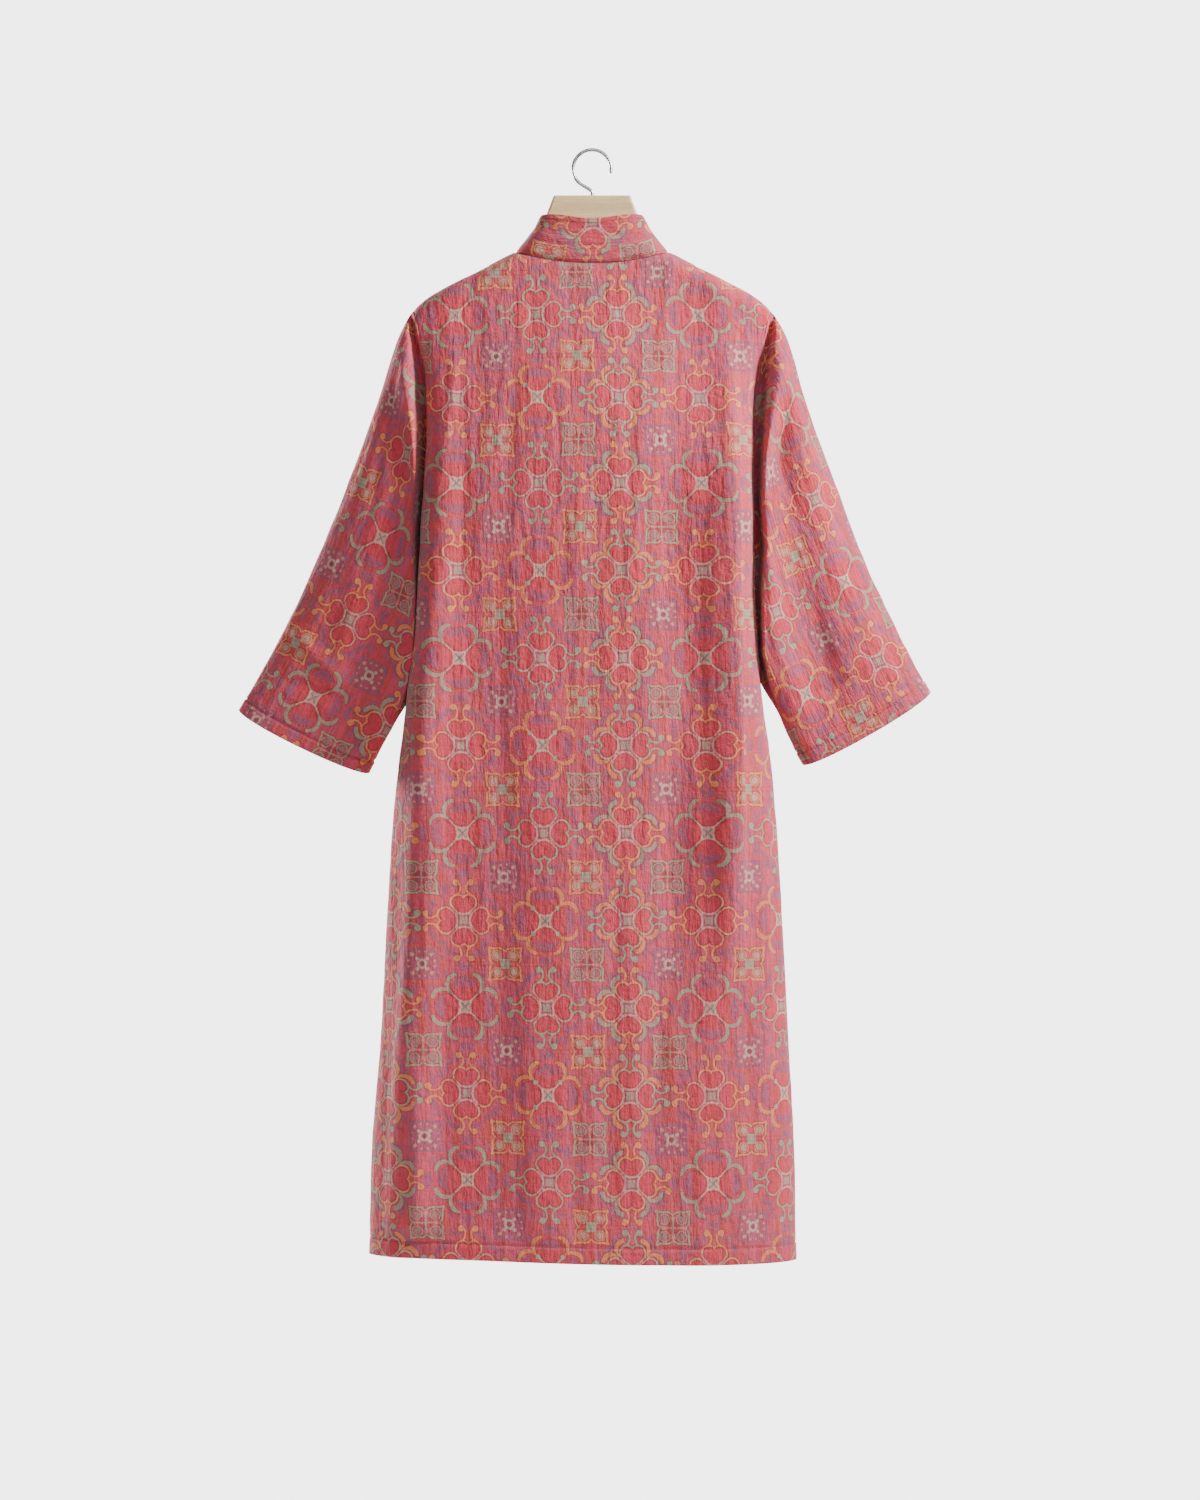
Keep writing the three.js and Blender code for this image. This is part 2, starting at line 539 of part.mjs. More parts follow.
function hangerWood() {
  const sections = [];
  const steps = 20;
  for (let k = -steps; k <= steps; k += 1) {
    const x = (WOOD.armEnd * k) / steps;
    const away = Math.abs(x) / WOOD.armEnd;
    const top = ridge(x) - CLOTH - WOOD.armGap;
    const tall = mix(46, 26, away);
    const end = Math.sqrt(Math.max(0.04, 1 - ((Math.abs(x) - WOOD.armEnd + 12) / 12) ** 2));
    const round = Math.abs(x) > WOOD.armEnd - 12 ? end : 1;
    const middle = top - tall / 2;
    const half = (round * tall) / 2;
    sections.push({ x, top: middle + half, foot: middle - half, thick: WOOD.armThick * round });
  }
  const around = 16;
  const rings = sections.map(({ x, top, foot, thick }) =>
    Array.from({ length: around }, (_, k) => {
      const angle = (2 * Math.PI * k) / around;
      const y = thick * power(Math.sin(angle), 0.9);
      const z = mix(foot, top, (1 + power(Math.cos(angle), 0.9)) / 2);
      return new THREE.Vector3(x, y, z);
    }),
  );
  const positions = rings.flat().flatMap((p) => p.toArray());
  const faces = [];
  const id = (i, k) => i * around + (k % around);
  for (let i = 0; i < rings.length - 1; i += 1) {
    for (let k = 0; k < around; k += 1) {
      faces.push(id(i, k), id(i, k + 1), id(i + 1, k + 1), id(i, k), id(i + 1, k + 1), id(i + 1, k));
    }
  }
  const lastRing = rings.length - 1;
  for (let k = 1; k < around - 1; k += 1) {
    faces.push(id(0, 0), id(0, k + 1), id(0, k), id(lastRing, 0), id(lastRing, k), id(lastRing, k + 1));
  }
  const arms = solid(facingOut(positions, faces));
  const outline = new THREE.Shape([
    new THREE.Vector2(-WOOD.neckFoot, WOOD.neckFootHeight - 45),
    new THREE.Vector2(WOOD.neckFoot, WOOD.neckFootHeight - 45),
    new THREE.Vector2(WOOD.neckFoot, WOOD.neckFootHeight),
    new THREE.Vector2(WOOD.neckTop, HANGER_TOP),
    new THREE.Vector2(-WOOD.neckTop, HANGER_TOP),
    new THREE.Vector2(-WOOD.neckFoot, WOOD.neckFootHeight),
  ]);
  const bevel = 2.5;
  const block = new THREE.ExtrudeGeometry(outline, {
    depth: 2 * (WOOD.neckThick - bevel),
    bevelThickness: bevel,
    bevelSize: bevel,
    bevelOffset: -bevel,
    bevelSegments: 2,
    curveSegments: 4,
  });
  block.rotateX(Math.PI / 2);
  block.translate(0, WOOD.neckThick - bevel, 0);
  const bore = new THREE.CylinderGeometry(HOOK.wire + SEAM, HOOK.wire + SEAM, 2 * HOOK.sunk + 1, 16);
  bore.rotateX(Math.PI / 2);
  bore.translate(0, 0, HANGER_TOP);
  return geometryOf(arms.add(solid(block)).subtract(solid(bore)));
}

function hook() {
  const bottom = HANGER_TOP - HOOK.sunk + 0.5;
  const centre = HOOK_SEAT - HOOK.radius;
  const at = (angle) =>
    new THREE.Vector3(
      (HOOK.radius + HOOK.wire) * Math.cos(angle),
      0,
      centre + (HOOK.radius + HOOK.wire) * Math.sin(angle),
    );
  // The wire rises from the wood, leans out to the side, then goes over the rail in a round bend.
  const points = [
    new THREE.Vector3(0, 0, bottom),
    new THREE.Vector3(0, 0, HANGER_TOP),
    new THREE.Vector3(0.5, 0, HANGER_TOP + 5),
  ];
  for (let degrees = -50; degrees <= 190; degrees += 16) points.push(at((degrees * Math.PI) / 180));
  const extrudePath = new THREE.CatmullRomCurve3(points, false, "centripetal");
  const section = new THREE.Shape();
  section.absarc(0, 0, HOOK.wire, 0, 2 * Math.PI);
  const curveSegments = HOOK.sides / 2;
  return new THREE.ExtrudeGeometry(section, { steps: 44, curveSegments, extrudePath, bevelEnabled: false });
}

// ---------------------------------------------------------------- between three.js and the solid library

function solid(geometry) {
  const plain = geometry.index ? geometry.toNonIndexed() : geometry;
  const places = new Map();
  const vertProperties = [];
  const triVerts = [];
  const position = plain.getAttribute("position");
  for (let k = 0; k < position.count; k += 1) {
    const corner = [position.getX(k), position.getY(k), position.getZ(k)];
    const key = corner.map((v) => Math.round(v * 1e4)).join();
    if (!places.has(key)) {
      places.set(key, places.size);
      vertProperties.push(...corner);
    }
    triVerts.push(places.get(key));
  }
  return new wasm.Manifold(
    new wasm.Mesh({
      numProp: 3,
      vertProperties: new Float32Array(vertProperties),
      triVerts: new Uint32Array(triVerts),
    }),
  );
}

function geometryOf(manifold) {
  const mesh = manifold.getMesh();
  const geometry = new THREE.BufferGeometry();
  geometry.setAttribute("position", new THREE.BufferAttribute(Float32Array.from(mesh.vertProperties), 3));
  geometry.setIndex(new THREE.BufferAttribute(Uint32Array.from(mesh.triVerts), 1));
  return geometry;
}

// ---------------------------------------------------------------- the robe

const gauze = new THREE.MeshStandardMaterial({ color: 0xc4505a, roughness: 0.95, metalness: 0 });
const paleWood = new THREE.MeshStandardMaterial({ color: 0xdfc498, roughness: 0.55, metalness: 0 });
const steel = new THREE.MeshStandardMaterial({ color: 0xb9bbbd, roughness: 0.3, metalness: 1 });

const robe = new THREE.Group();
robe.position.z = -HOOK_SEAT;

function add(name, geometry, material) {
  const mesh = new THREE.Mesh(geometry, material);
  mesh.name = name;
  robe.add(mesh);
}

add("back", backPanel(), gauze);
add("front_left", frontPanel(1), gauze);
add("front_right", frontPanel(-1), gauze);
add("sleeve_left", sleeve(1), gauze);
add("sleeve_right", sleeve(-1), gauze);
add("neck_band", neckBand(), gauze);
add("hanger_wood", hangerWood(), paleWood);
add("hanger_hook", hook(), steel);

export default robe;
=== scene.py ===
# %% [markdown]
# # A kimono bathrobe in crinkled cotton gauze, on a wooden hanger
# Each cell makes one piece or one finish of the robe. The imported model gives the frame: where every panel
# hangs. Here each panel is made again as a thin shell on the same form, fine enough for creases and hems.

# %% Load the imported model
import math

import bmesh
import bpy
import mathutils
import numpy as np
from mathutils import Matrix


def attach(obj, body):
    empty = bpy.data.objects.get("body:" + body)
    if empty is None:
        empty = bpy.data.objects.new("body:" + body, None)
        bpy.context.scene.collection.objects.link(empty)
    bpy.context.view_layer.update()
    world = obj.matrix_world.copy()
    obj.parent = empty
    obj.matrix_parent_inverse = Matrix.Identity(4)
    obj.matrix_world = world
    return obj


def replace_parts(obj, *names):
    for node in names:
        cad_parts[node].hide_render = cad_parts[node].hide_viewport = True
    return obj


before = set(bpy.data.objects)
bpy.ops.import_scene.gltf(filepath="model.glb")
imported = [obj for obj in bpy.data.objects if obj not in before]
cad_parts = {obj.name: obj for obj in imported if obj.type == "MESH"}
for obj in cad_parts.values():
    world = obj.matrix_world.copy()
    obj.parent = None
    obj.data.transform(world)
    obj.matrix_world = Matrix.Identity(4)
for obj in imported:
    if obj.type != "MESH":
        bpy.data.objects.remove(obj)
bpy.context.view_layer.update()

print("nodes:", sorted(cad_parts))

# %% [markdown]
# ## The sizes of the robe
# Heights are in millimetres above the hem. x points to the wearer's left and y out of the back. The hook's
# inner top is the origin of the model, so every height is lowered by HOOK_SEAT at the end. The tables give a
# row for each height or ring, and read() draws a smooth curve through one column of a table.

# %% Sizes and tables
CLOTH = 1.3  # what the eye sees of the wall; the solid's is 2
BAND_CLOTH = 3.0
SEAM = 0.3
UNDERARM = 812.0
SHOULDER_X, SHOULDER_H = 198.0, 1040.0
NECK_X, NECK_H, NAPE_H = 84.0, 1105.0, 1091.0
ARM_DEPTH, ARM_HOLLOW, ARM_SQUARE = 27.0, 11.0, 2.3
RIDGE_ROUND, SHOULDER_FALL = 20.0, 235.0
HEM_RISE, CUFF_BOW, SLEEVE_SQUARE = 8.0, 8.0, 2.1
HOOK_SEAT, HANGER_TOP = 1216.0, 1167.0


def table(names, rows):
    return dict(zip(names.split(), np.array(rows, float).T))


def each_row(tab):
    return [dict(zip(tab, row)) for row in zip(*tab.values())]


BODY = table("height left right back front", [
    (0, 245.5, 226, 76, 72), (120, 242.5, 223, 73, 70), (250, 232, 217, 71, 68), (380, 225, 210, 69, 66),
    (515, 215.5, 200, 67, 63), (612, 202, 187, 65, 61), (668, 191, 180, 64, 60), (780, 181, 175, 62, 57),
    (860, 180, 174, 61, 55), (1140, 180, 174, 56, 50)])
RIDGE = table("x height", [
    (0, 1122), (40, 1118), (84, 1105), (120, 1087), (160, 1067), (182, 1054), (198, 1040)])
SLEEVES = {
    1: table("along outX outHeight inX inHeight depth back tuck", [
        (0.0, 198, 1040, 181, 812, 27, 0, 0), (0.07, 214, 1008, 184, 778, 38, 3, 8),
        (0.2, 233, 948, 183, 736, 41, 4, 24), (0.34, 255, 886, 184, 697, 42, 3, 30),
        (0.48, 280, 820, 188, 660, 42, 2, 30), (0.62, 308, 754, 199, 622, 40, 1, 22),
        (0.76, 337, 694, 214, 590, 37, 0, 12), (0.89, 366, 641, 231, 560, 33, 0, 5),
        (1.0, 388, 602, 245, 533, 29, 0, 0)]),
    -1: table("along outX outHeight inX inHeight depth back tuck", [
        (0.0, 198, 1040, 175, 812, 27, 0, 0), (0.07, 215, 1008, 178, 778, 38, 3, 8),
        (0.2, 232, 948, 176, 738, 42, 4, 24), (0.34, 253, 888, 177, 700, 44, 4, 30),
        (0.48, 278, 823, 180, 664, 44, 3, 30), (0.62, 303, 758, 191, 628, 43, 2, 22),
        (0.76, 330, 700, 204, 598, 40, 1, 12), (0.89, 353, 655, 217, 569, 36, 0, 5),
        (1.0, 372, 622, 232, 542, 32, 0, 0)])}
FRONT_SEAM = table("height x", [
    (0, 15), (560, 15), (700, 19), (830, 37), (950, 60), (1040, 76), (1105, 84)])
BAND_REACH = table("height inward up freeY", [
    (0, 50, 0, 60), (560, 50, 0, 60), (760, 49.4, 6, 50), (950, 48.8, 9, 40), (1000, 47.5, 12, 38),
    (1050, 41, 19, 34), (1080, 34, 25, 28), (1096, 27.5, 29, 18), (1105, 24, 31, 0)])


def read(tab, key, column, at):
    k, c = tab[key], tab[column]
    at = np.asarray(at, float)
    n = len(k)
    i = np.clip(np.searchsorted(k, at, side="left") - 1, 0, n - 2)
    low, high = np.clip(np.arange(n) - 1, 0, n - 1), np.clip(np.arange(n) + 1, 0, n - 1)
    slope = (c[high] - c[low]) / (k[high] - k[low])
    span = k[i + 1] - k[i]
    t = np.clip((at - k[i]) / span, 0, 1)
    t2, t3 = t * t, t * t * t
    return ((2 * t3 - 3 * t2 + 1) * c[i] + (t3 - 2 * t2 + t) * span * slope[i]
            + (3 * t2 - 2 * t3) * c[i + 1] + (t3 - t2) * span * slope[i + 1])


def mix(a, b, t):
    return a + (b - a) * t


def smooth(low, high, value):
    t = np.clip((value - low) / (high - low), 0, 1)
    return t * t * (3 - 2 * t)


def power(value, exponent):
    return np.sign(value) * np.abs(value) ** exponent


def bell(distance, reach):
    return np.exp(-((distance / reach) ** 2))


def spacing(points, axis):
    """The distance from each point to the next along one axis of a grid."""
    return np.linalg.norm(np.diff(points, axis=axis), axis=-1)


def running(steps, axis=0):
    """Running totals along an axis, which start at 0."""
    return np.cumsum(np.insert(steps, 0, 0, axis=axis), axis=axis)


print("hem width on the wearer's left and right:", BODY["left"][0], BODY["right"][0], "mm")

# %% [markdown]
# ## How the body hangs
# A robe on a hanger is a flattened tube: boxy over the hanger's arms, rounder below, and a little wider at
# the hem. The cloth bends round the hanger's arm with a radius of 20 mm, then fills out over the next 235
# mm. Its largest folds are rows of a table, each a soft ridge or trough that drifts as it runs down.

# %% The body's form
BODY_FOLDS = table("side topX footX top foot spread out", [
    (1, -148, -166, 960, 380, 17, -6), (1, -170, -196, 900, 200, 13, 3), (1, 172, 214, 800, 0, 12, 4),
    (1, 128, 118, 880, 60, 26, -3), (1, 30, 44, 620, 0, 40, 3), (1, -60, -84, 560, 0, 34, -3.5),
    (-1, 140, 168, 900, 60, 22, -7), (-1, 96, 108, 760, 0, 28, 5), (-1, -138, -160, 880, 40, 22, -7),
    (-1, -98, -112, 700, 0, 26, 4)])


def ridge(x):
    return read(RIDGE, "x", "height", np.minimum(np.abs(x), SHOULDER_X))


def half_width(x, height):
    return np.where(x >= 0, read(BODY, "height", "left", height), read(BODY, "height", "right", height))


def fullness(drop, depth):
    d = np.maximum(drop, 0)
    top = RIDGE_ROUND / depth
    near = np.minimum(d, RIDGE_ROUND)
    over = top * np.sqrt(near * (2 * RIDGE_ROUND - near)) / RIDGE_ROUND
    straight = np.clip((d - RIDGE_ROUND) / SHOULDER_FALL, 0, 1)
    below = mix(top, 1, smooth(RIDGE_ROUND, SHOULDER_FALL, d) * 0.7 + straight * 0.3)
    return np.where(d < RIDGE_ROUND, over, below)


def folds(rows, side, x, height):
    out = np.zeros(np.broadcast(x, height).shape)
    for k, r in enumerate(each_row(rows)):
        if r["side"] != side:
            continue
        t = (r["top"] - height) / (r["top"] - r["foot"])
        drift = np.minimum(1.3, np.maximum(-0.2, t))
        middle = mix(r["topX"], r["footX"], drift) + r.get("wander", 0) * np.sin(height / 57 + k)
        fade = smooth(-0.1, 0.35, t) * ((1 - smooth(0.75, 1.15, t)) if r["foot"] > 0 else 1)
        out = out + r["out"] * fade * bell(x - middle, r["spread"])
    return out


def body_y(side, x, height, share, edge_y):
    depth = read(BODY, "height", "back" if side > 0 else "front", height)
    full = (depth + folds(BODY_FOLDS, side, x, height)) * fullness(ridge(x) - height, depth)
    below = mix(2.5, 3.6, smooth(250, 640, height)) + smooth(0, 120, x) if side > 0 else 2.5
    square = mix(below, 5.0, smooth(UNDERARM, SHOULDER_H, height))
    rounded = np.maximum(0, 1 - np.abs(share) ** square) ** (1 / square)
    return side * np.cbrt((full * rounded) ** 3 + (edge_y * np.abs(share) ** 8) ** 3)


def lap_back(x, height):
    return 8 * smooth(-100, -45, x) * (1 - smooth(940, 1040, height))


def armhole(hand, side, turn):
    under = SLEEVES[hand]["inX"][0]
    along = power(np.cos(np.pi * turn), 2 / ARM_SQUARE)
    deep = power(np.sin(np.pi * turn), 2 / ARM_SQUARE)
    x = mix(under, SHOULDER_X, (1 + along) / 2) - ARM_HOLLOW * (1 - along * along)
    height = mix(UNDERARM, SHOULDER_H, (1 + along) / 2)
    sunk = 1 - (side > 0) * 0.72 * (1 - smooth(960, 1034, height))
    return hand * x, side * np.maximum(ARM_DEPTH * deep * sunk, SEAM / 2), height


# %% [markdown]
# ## Creases and crinkle
# Layered gauze is washed until it crinkles: short soft puckers that run mostly down the cloth, a few
# millimetres wide, over longer creases from hanging and folding. The long ones are placed one by one in a
# table, uneven in length, depth and spacing, on the hidden sides too. The puckers are smooth random waves
# from a seeded grid, wide ones here in the mesh and the finest ones later, as bump in the finish.

# %% Creases of the body, back and front, and the crinkle
CREASES = table("side topX footX top foot spread out wander", [
    (1, -92, -96, 1010, 260, 25, -8.5, 2), (1, -150, -156, 1030, 330, 19, 18.0, 2),
    (1, -118, -122, 960, 420, 8, -1.4, 2), (1, 100, 94, 1010, 0, 28, -2.0, 3),
    (1, 162, 194, 1030, 0, 19, 13.0, 2), (1, 62, 64, 760, 0, 22, 2.2, 3),
    (1, 112, 122, 560, 240, 9, 1.5, 3), (1, 84, 96, 1000, 640, 8, -1.2, 2),
    (1, 20, 12, 940, 700, 9, 1.1, 2), (1, -42, -36, 1010, 760, 7, -1.1, 3),
    (1, -22, -24, 460, 60, 8, -1.7, 3), (1, -46, -52, 420, 40, 9, 1.3, 2),
    (1, -70, -74, 380, 60, 9, -1.5, 3), (1, 168, 196, 700, 160, 8, -2.2, 2),
    (1, -152, -186, 420, 0, 9, -1.8, 3), (1, 138, 146, 960, 700, 7, -1.6, 2),
    (1, 8, 22, 300, 0, 13, -1.3, 2), (1, 190, 222, 420, 0, 7, 1.8, 2),
    (1, -160, -162, 1000, 840, 6, -1.8, 2), (1, 150, 158, 1010, 860, 6, 1.6, 2),
    (1, -24, -40, 220, 0, 8, 1.0, 2), (1, 150, 170, 380, 0, 11, -1.6, 3),
    (-1, 120, 132, 840, 260, 9, -2.2, 3), (-1, 156, 190, 640, 0, 9, 2.0, 3),
    (-1, 70, 82, 900, 500, 8, 1.4, 2), (-1, 50, 58, 520, 0, 10, -1.8, 3),
    (-1, -120, -128, 800, 200, 9, -2.0, 3), (-1, -66, -70, 620, 0, 10, 1.7, 2),
    (-1, -158, -190, 600, 0, 9, 1.9, 3), (-1, -96, -110, 960, 640, 7, -1.4, 2),
    (-1, 104, 96, 1000, 820, 7, 1.3, 2)])


GRID = 128  # the random grid's cells, before it repeats


def wave(u, v, cell_u, cell_v, seed):
    """Smooth random waves, about -1 to 1, each cell_u wide and cell_v long."""
    grid = np.random.default_rng(seed).uniform(-1, 1, (GRID, GRID))
    a, b = u / cell_u, v / cell_v
    i, j = np.floor(a).astype(int), np.floor(b).astype(int)
    s, t = a - i, b - j
    s, t = s * s * (3 - 2 * s), t * t * (3 - 2 * t)
    at = lambda p, q: grid[(i + p) % GRID, (j + q) % GRID]
    return mix(mix(at(0, 0), at(1, 0), s), mix(at(0, 1), at(1, 1), s), t)


def crinkle(u, v, seed):
    long_ones = 0.75 * wave(u + 0.02 * v, v, 15, 130, seed) + 0.5 * wave(u - 0.03 * v, v, 9, 60, seed + 1)
    return long_ones + 0.35 * wave(u, v, 26, 19, seed + 2)


def turned_edge(u, along, width, seed):
    """A hem turned up and stitched: flat and thicker below the stitch line, which pulls the cloth in."""
    pucker = 0.55 * wave(u, 0, 4.2, 9, seed) * bell(along - width, 11)
    return pucker - bell(along - width, 1.7) + 0.5 * (1 - smooth(width - 3, width - 1, along))


print("long creases placed by hand:", len(CREASES["side"]))

# %% [markdown]
# ## From a grid of points to a piece of cloth
# A panel is a grid of points. Its normals come from its neighbours on the grid, the creases move it along
# them, and a second grid a little way in gives the wall its thickness. The UV map is the flat cut: u runs
# across the cloth and v up it, in metres, so the woven pattern keeps its real size round every fold.

# %% Grid to mesh
def normals(grid, facing):
    """Unit normals of a grid of points; facing says roughly which way is out, for all or for each."""
    n = np.cross(np.gradient(grid, axis=0), np.gradient(grid, axis=1))
    n /= np.maximum(np.linalg.norm(n, axis=2, keepdims=True), 1e-9)
    return n * np.sign((n * facing).sum())


def settled(grid):
    """The model's metres for the robe's millimetres, with the hem a little higher on the wearer's left."""
    out = grid.copy()
    rise = HEM_RISE * smooth(-140, 240, grid[..., 0]) * np.clip(1 - grid[..., 2] / 400, 0, 1)
    out[..., 2] += rise - HOOK_SEAT
    return out / 1000


def add_object(name, data):
    obj = bpy.data.objects.new(name, data)
    bpy.context.scene.collection.objects.link(obj)
    return obj


def piece(name, verts, quads, uvs, material):
    """Makes a mesh piece from points in metres, with its UV map called cut, and hangs it on the model."""
    mesh = bpy.data.meshes.new(name)
    mesh.from_pydata(verts.tolist(), [], quads.tolist())
    layer = mesh.uv_layers.new(name="cut")
    loops = np.zeros(len(mesh.loops), np.int32)
    mesh.loops.foreach_get("vertex_index", loops)
    layer.data.foreach_set("uv", uvs[loops].astype(np.float32).ravel())
    mesh.polygons.foreach_set("use_smooth", np.ones(len(mesh.polygons), bool))
    mesh.materials.append(material)
    mesh.update()
    obj = add_object(name, mesh)
    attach(obj, "root")
    return obj


def wall(grid, normal, thickness, wrap=False):
    """The points and faces of a closed wall: the grid, the same grid moved in, and the four rims."""
    rows, columns = grid.shape[:2]
    inner = grid - normal * thickness
    ids = np.arange(rows * columns).reshape(rows, columns)
    if wrap:
        ids = np.concatenate([ids, ids[:, :1]], axis=1)
    a, b, c, d = ids[:-1, :-1], ids[:-1, 1:], ids[1:, 1:], ids[1:, :-1]
    outer = np.stack([a, b, c, d], -1).reshape(-1, 4)
    shift = rows * columns
    rims = [(ids[0, 1:], ids[0, :-1]), (ids[-1, :-1], ids[-1, 1:])]
    if not wrap:
        rims += [(ids[:-1, 0], ids[1:, 0]), (ids[1:, -1], ids[:-1, -1])]
    quads = [outer, outer[:, ::-1] + shift]
    quads += [np.stack([p, q, q + shift, p + shift], -1) for p, q in rims]
    return np.concatenate([grid.reshape(-1, 3), inner.reshape(-1, 3)]), np.concatenate(quads)


def outward(points, quads):
    """Turns all faces round where the closed mesh is inside out."""
    p = points[quads]
    volume = (np.cross(p[:, 0], p[:, 1]) * p[:, 2]).sum() + (np.cross(p[:, 0], p[:, 2]) * p[:, 3]).sum()
    return quads if volume > 0 else quads[:, ::-1]


stitch_lines = []  # rows of points on the cloth, in metres, where the thread runs


def sewn(line, normal, closed=False):
    """Keeps a stitch line a quarter of a millimetre above the cloth."""
    line = settled((line + normal * 0.25)[None])[0]
    stitch_lines.append(np.concatenate([line, line[:1]]) if closed else line)


def cloth_piece(name, grid, normal, uv, thickness, material, wrap=False):
    points, quads = wall(grid, normal, thickness, wrap)
    points = settled(points)
    both = np.concatenate([uv.reshape(-1, 2)] * 2) / 1000
    obj = piece(name, points, outward(points, quads), both, material)
    print(name, len(quads) * 2, "triangles")
    return obj


# %% [markdown]
# ## The woven pattern
# The gauze is a jacquard: coloured yarns come to the face where the figure needs them. The repeat is a
# traditional lattice of rosettes and square tiles. Two kinds of rosette, one with paired scrolls and one
# with four leaves, and a tile with four petals change their colours from column to column, so the whole
# repeat is three rosettes wide and two high. It could be painted as an image, but here it is drawn with
# circles and lines in the shader: the place in one lattice cell is folded into an eighth, where a few
# strokes are enough, and a small class turns plain arithmetic into Math nodes.

# %% Arithmetic that makes nodes
class Number:
    """A shader value. +, -, * and / add Math nodes to the tree."""

    def __init__(self, tree, socket):
        self.tree, self.socket = tree, socket

    def math(self, operation, *others, clamp=False):
        node = self.tree.nodes.new("ShaderNodeMath")
        node.operation, node.use_clamp = operation, clamp
        for i, value in enumerate((self, *others)):
            if isinstance(value, Number):
                self.tree.links.new(value.socket, node.inputs[i])
            else:
                node.inputs[i].default_value = value
        return Number(self.tree, node.outputs[0])

    def __add__(self, other): return self.math("ADD", other)
    def __sub__(self, other): return self.math("SUBTRACT", other)
    def __mul__(self, other): return self.math("MULTIPLY", other)
    def __truediv__(self, other): return self.math("DIVIDE", other)
    __radd__, __rmul__ = __add__, __mul__
    def __rsub__(self, other): return (self * -1.0) + other
    def floor(self): return self.math("FLOOR")
    def abs(self): return self.math("ABSOLUTE")
    def most(self, other): return self.math("MAXIMUM", other)
    def least(self, other): return self.math("MINIMUM", other)
    def equals(self, other): return self.math("COMPARE", other, 0.25)
    def either(self, one, other): return self.equals(one).most(self.equals(other))
    def cycle(self, length): return self.math("FLOORED_MODULO", float(length))
    def inside(self, edge=0.0, blur=0.5):
        """1 where the value is below the edge, 0 above it, with a soft step."""
        return self.math("MULTIPLY_ADD", -1.0 / blur, edge / blur + 0.5, clamp=True)
    def stroke(self, half, blur=0.5): return self.abs().inside(half, blur)


def blend(tree, base, over, share):
    """The base colour with another laid over it."""
    node = tree.nodes.new("ShaderNodeMix")
    node.data_type = "RGBA"
    for value, place in ((share, 0), (base, 6), (over, 7)):
        if isinstance(value, Number):
            tree.links.new(value.socket, node.inputs[place])
        elif isinstance(value, bpy.types.NodeSocket):
            tree.links.new(value, node.inputs[place])
        else:
            node.inputs[place].default_value = (*value, 1)
    return node.outputs[2]


def set_inputs(node, values):
    for name, value in values.items():
        node.inputs[name].default_value = value


def new_material(name):
    """A material with nodes, its node tree and its main shader."""
    material = bpy.data.materials.new(name)
    material.use_nodes = True
    return material, material.node_tree, material.node_tree.nodes["Principled BSDF"]


def noise(tree, vector, stretch, detail=2.0, rough=0.5, seed=0.0, tinted=False):
    """A noise texture, stretched; returns its grey value, or the socket of its colour."""
    mapping, node = tree.nodes.new("ShaderNodeMapping"), tree.nodes.new("ShaderNodeTexNoise")
    set_inputs(mapping, {"Scale": (*stretch, 1), "Location": (seed, seed * 0.7, 0)})
    tree.links.new(vector, mapping.inputs["Vector"])
    node.noise_dimensions = "2D"
    set_inputs(node, {"Scale": 1.0, "Detail": detail, "Roughness": rough})
    tree.links.new(mapping.outputs[0], node.inputs["Vector"])
    return node.outputs[1] if tinted else Number(tree, node.outputs[0])


def add_bump(tree, shader, height, distance):
    node = tree.nodes.new("ShaderNodeBump")
    set_inputs(node, {"Strength": 1.0, "Distance": distance})
    tree.links.new(height.socket, node.inputs["Height"])
    tree.links.new(node.outputs[0], shader.inputs["Normal"])


def srgb(red, green, blue):
    """A colour as the eye names it, 0 to 255, made linear for the shader."""
    return tuple(((c / 255 + 0.055) / 1.055) ** 2.4 if c > 10 else c / 3294 for c in (red, green, blue))


# %% [markdown]
# The strokes are in millimetres from the middle of a rosette or tile. a is the smaller and b the larger of
# the two distances from the axes, so one drawing serves all eight mirror images. The yarns aren't ruled
# lines, so a little noise bends them first, and a second noise lets the ground show through between the
# floats.

# %% The gauze finish
PITCH = (88.8, 94.9)  # one rosette to the next, across and up
LATTICE = (-147.6, 752.4)  # where a scroll rosette of the first column lies
LEAN = 0.016  # how far the figures drift across the back for each millimetre down it
SLEEVE_START = {1: 0, -1: 62}  # millimetres that the repeat is shifted along each sleeve
YARN = {
    "ground": srgb(200, 70, 74), "deep": srgb(168, 46, 56), "rose": srgb(202, 76, 100),
    "bright": srgb(198, 50, 66), "orange": srgb(236, 140, 84), "grey": srgb(158, 156, 130),
    "purple": srgb(134, 82, 106), "dark": srgb(76, 84, 92), "light": srgb(204, 172, 146),
    "edge": srgb(112, 46, 50)}
FAR = 99  # millimetres, added to a distance where its figure has no place


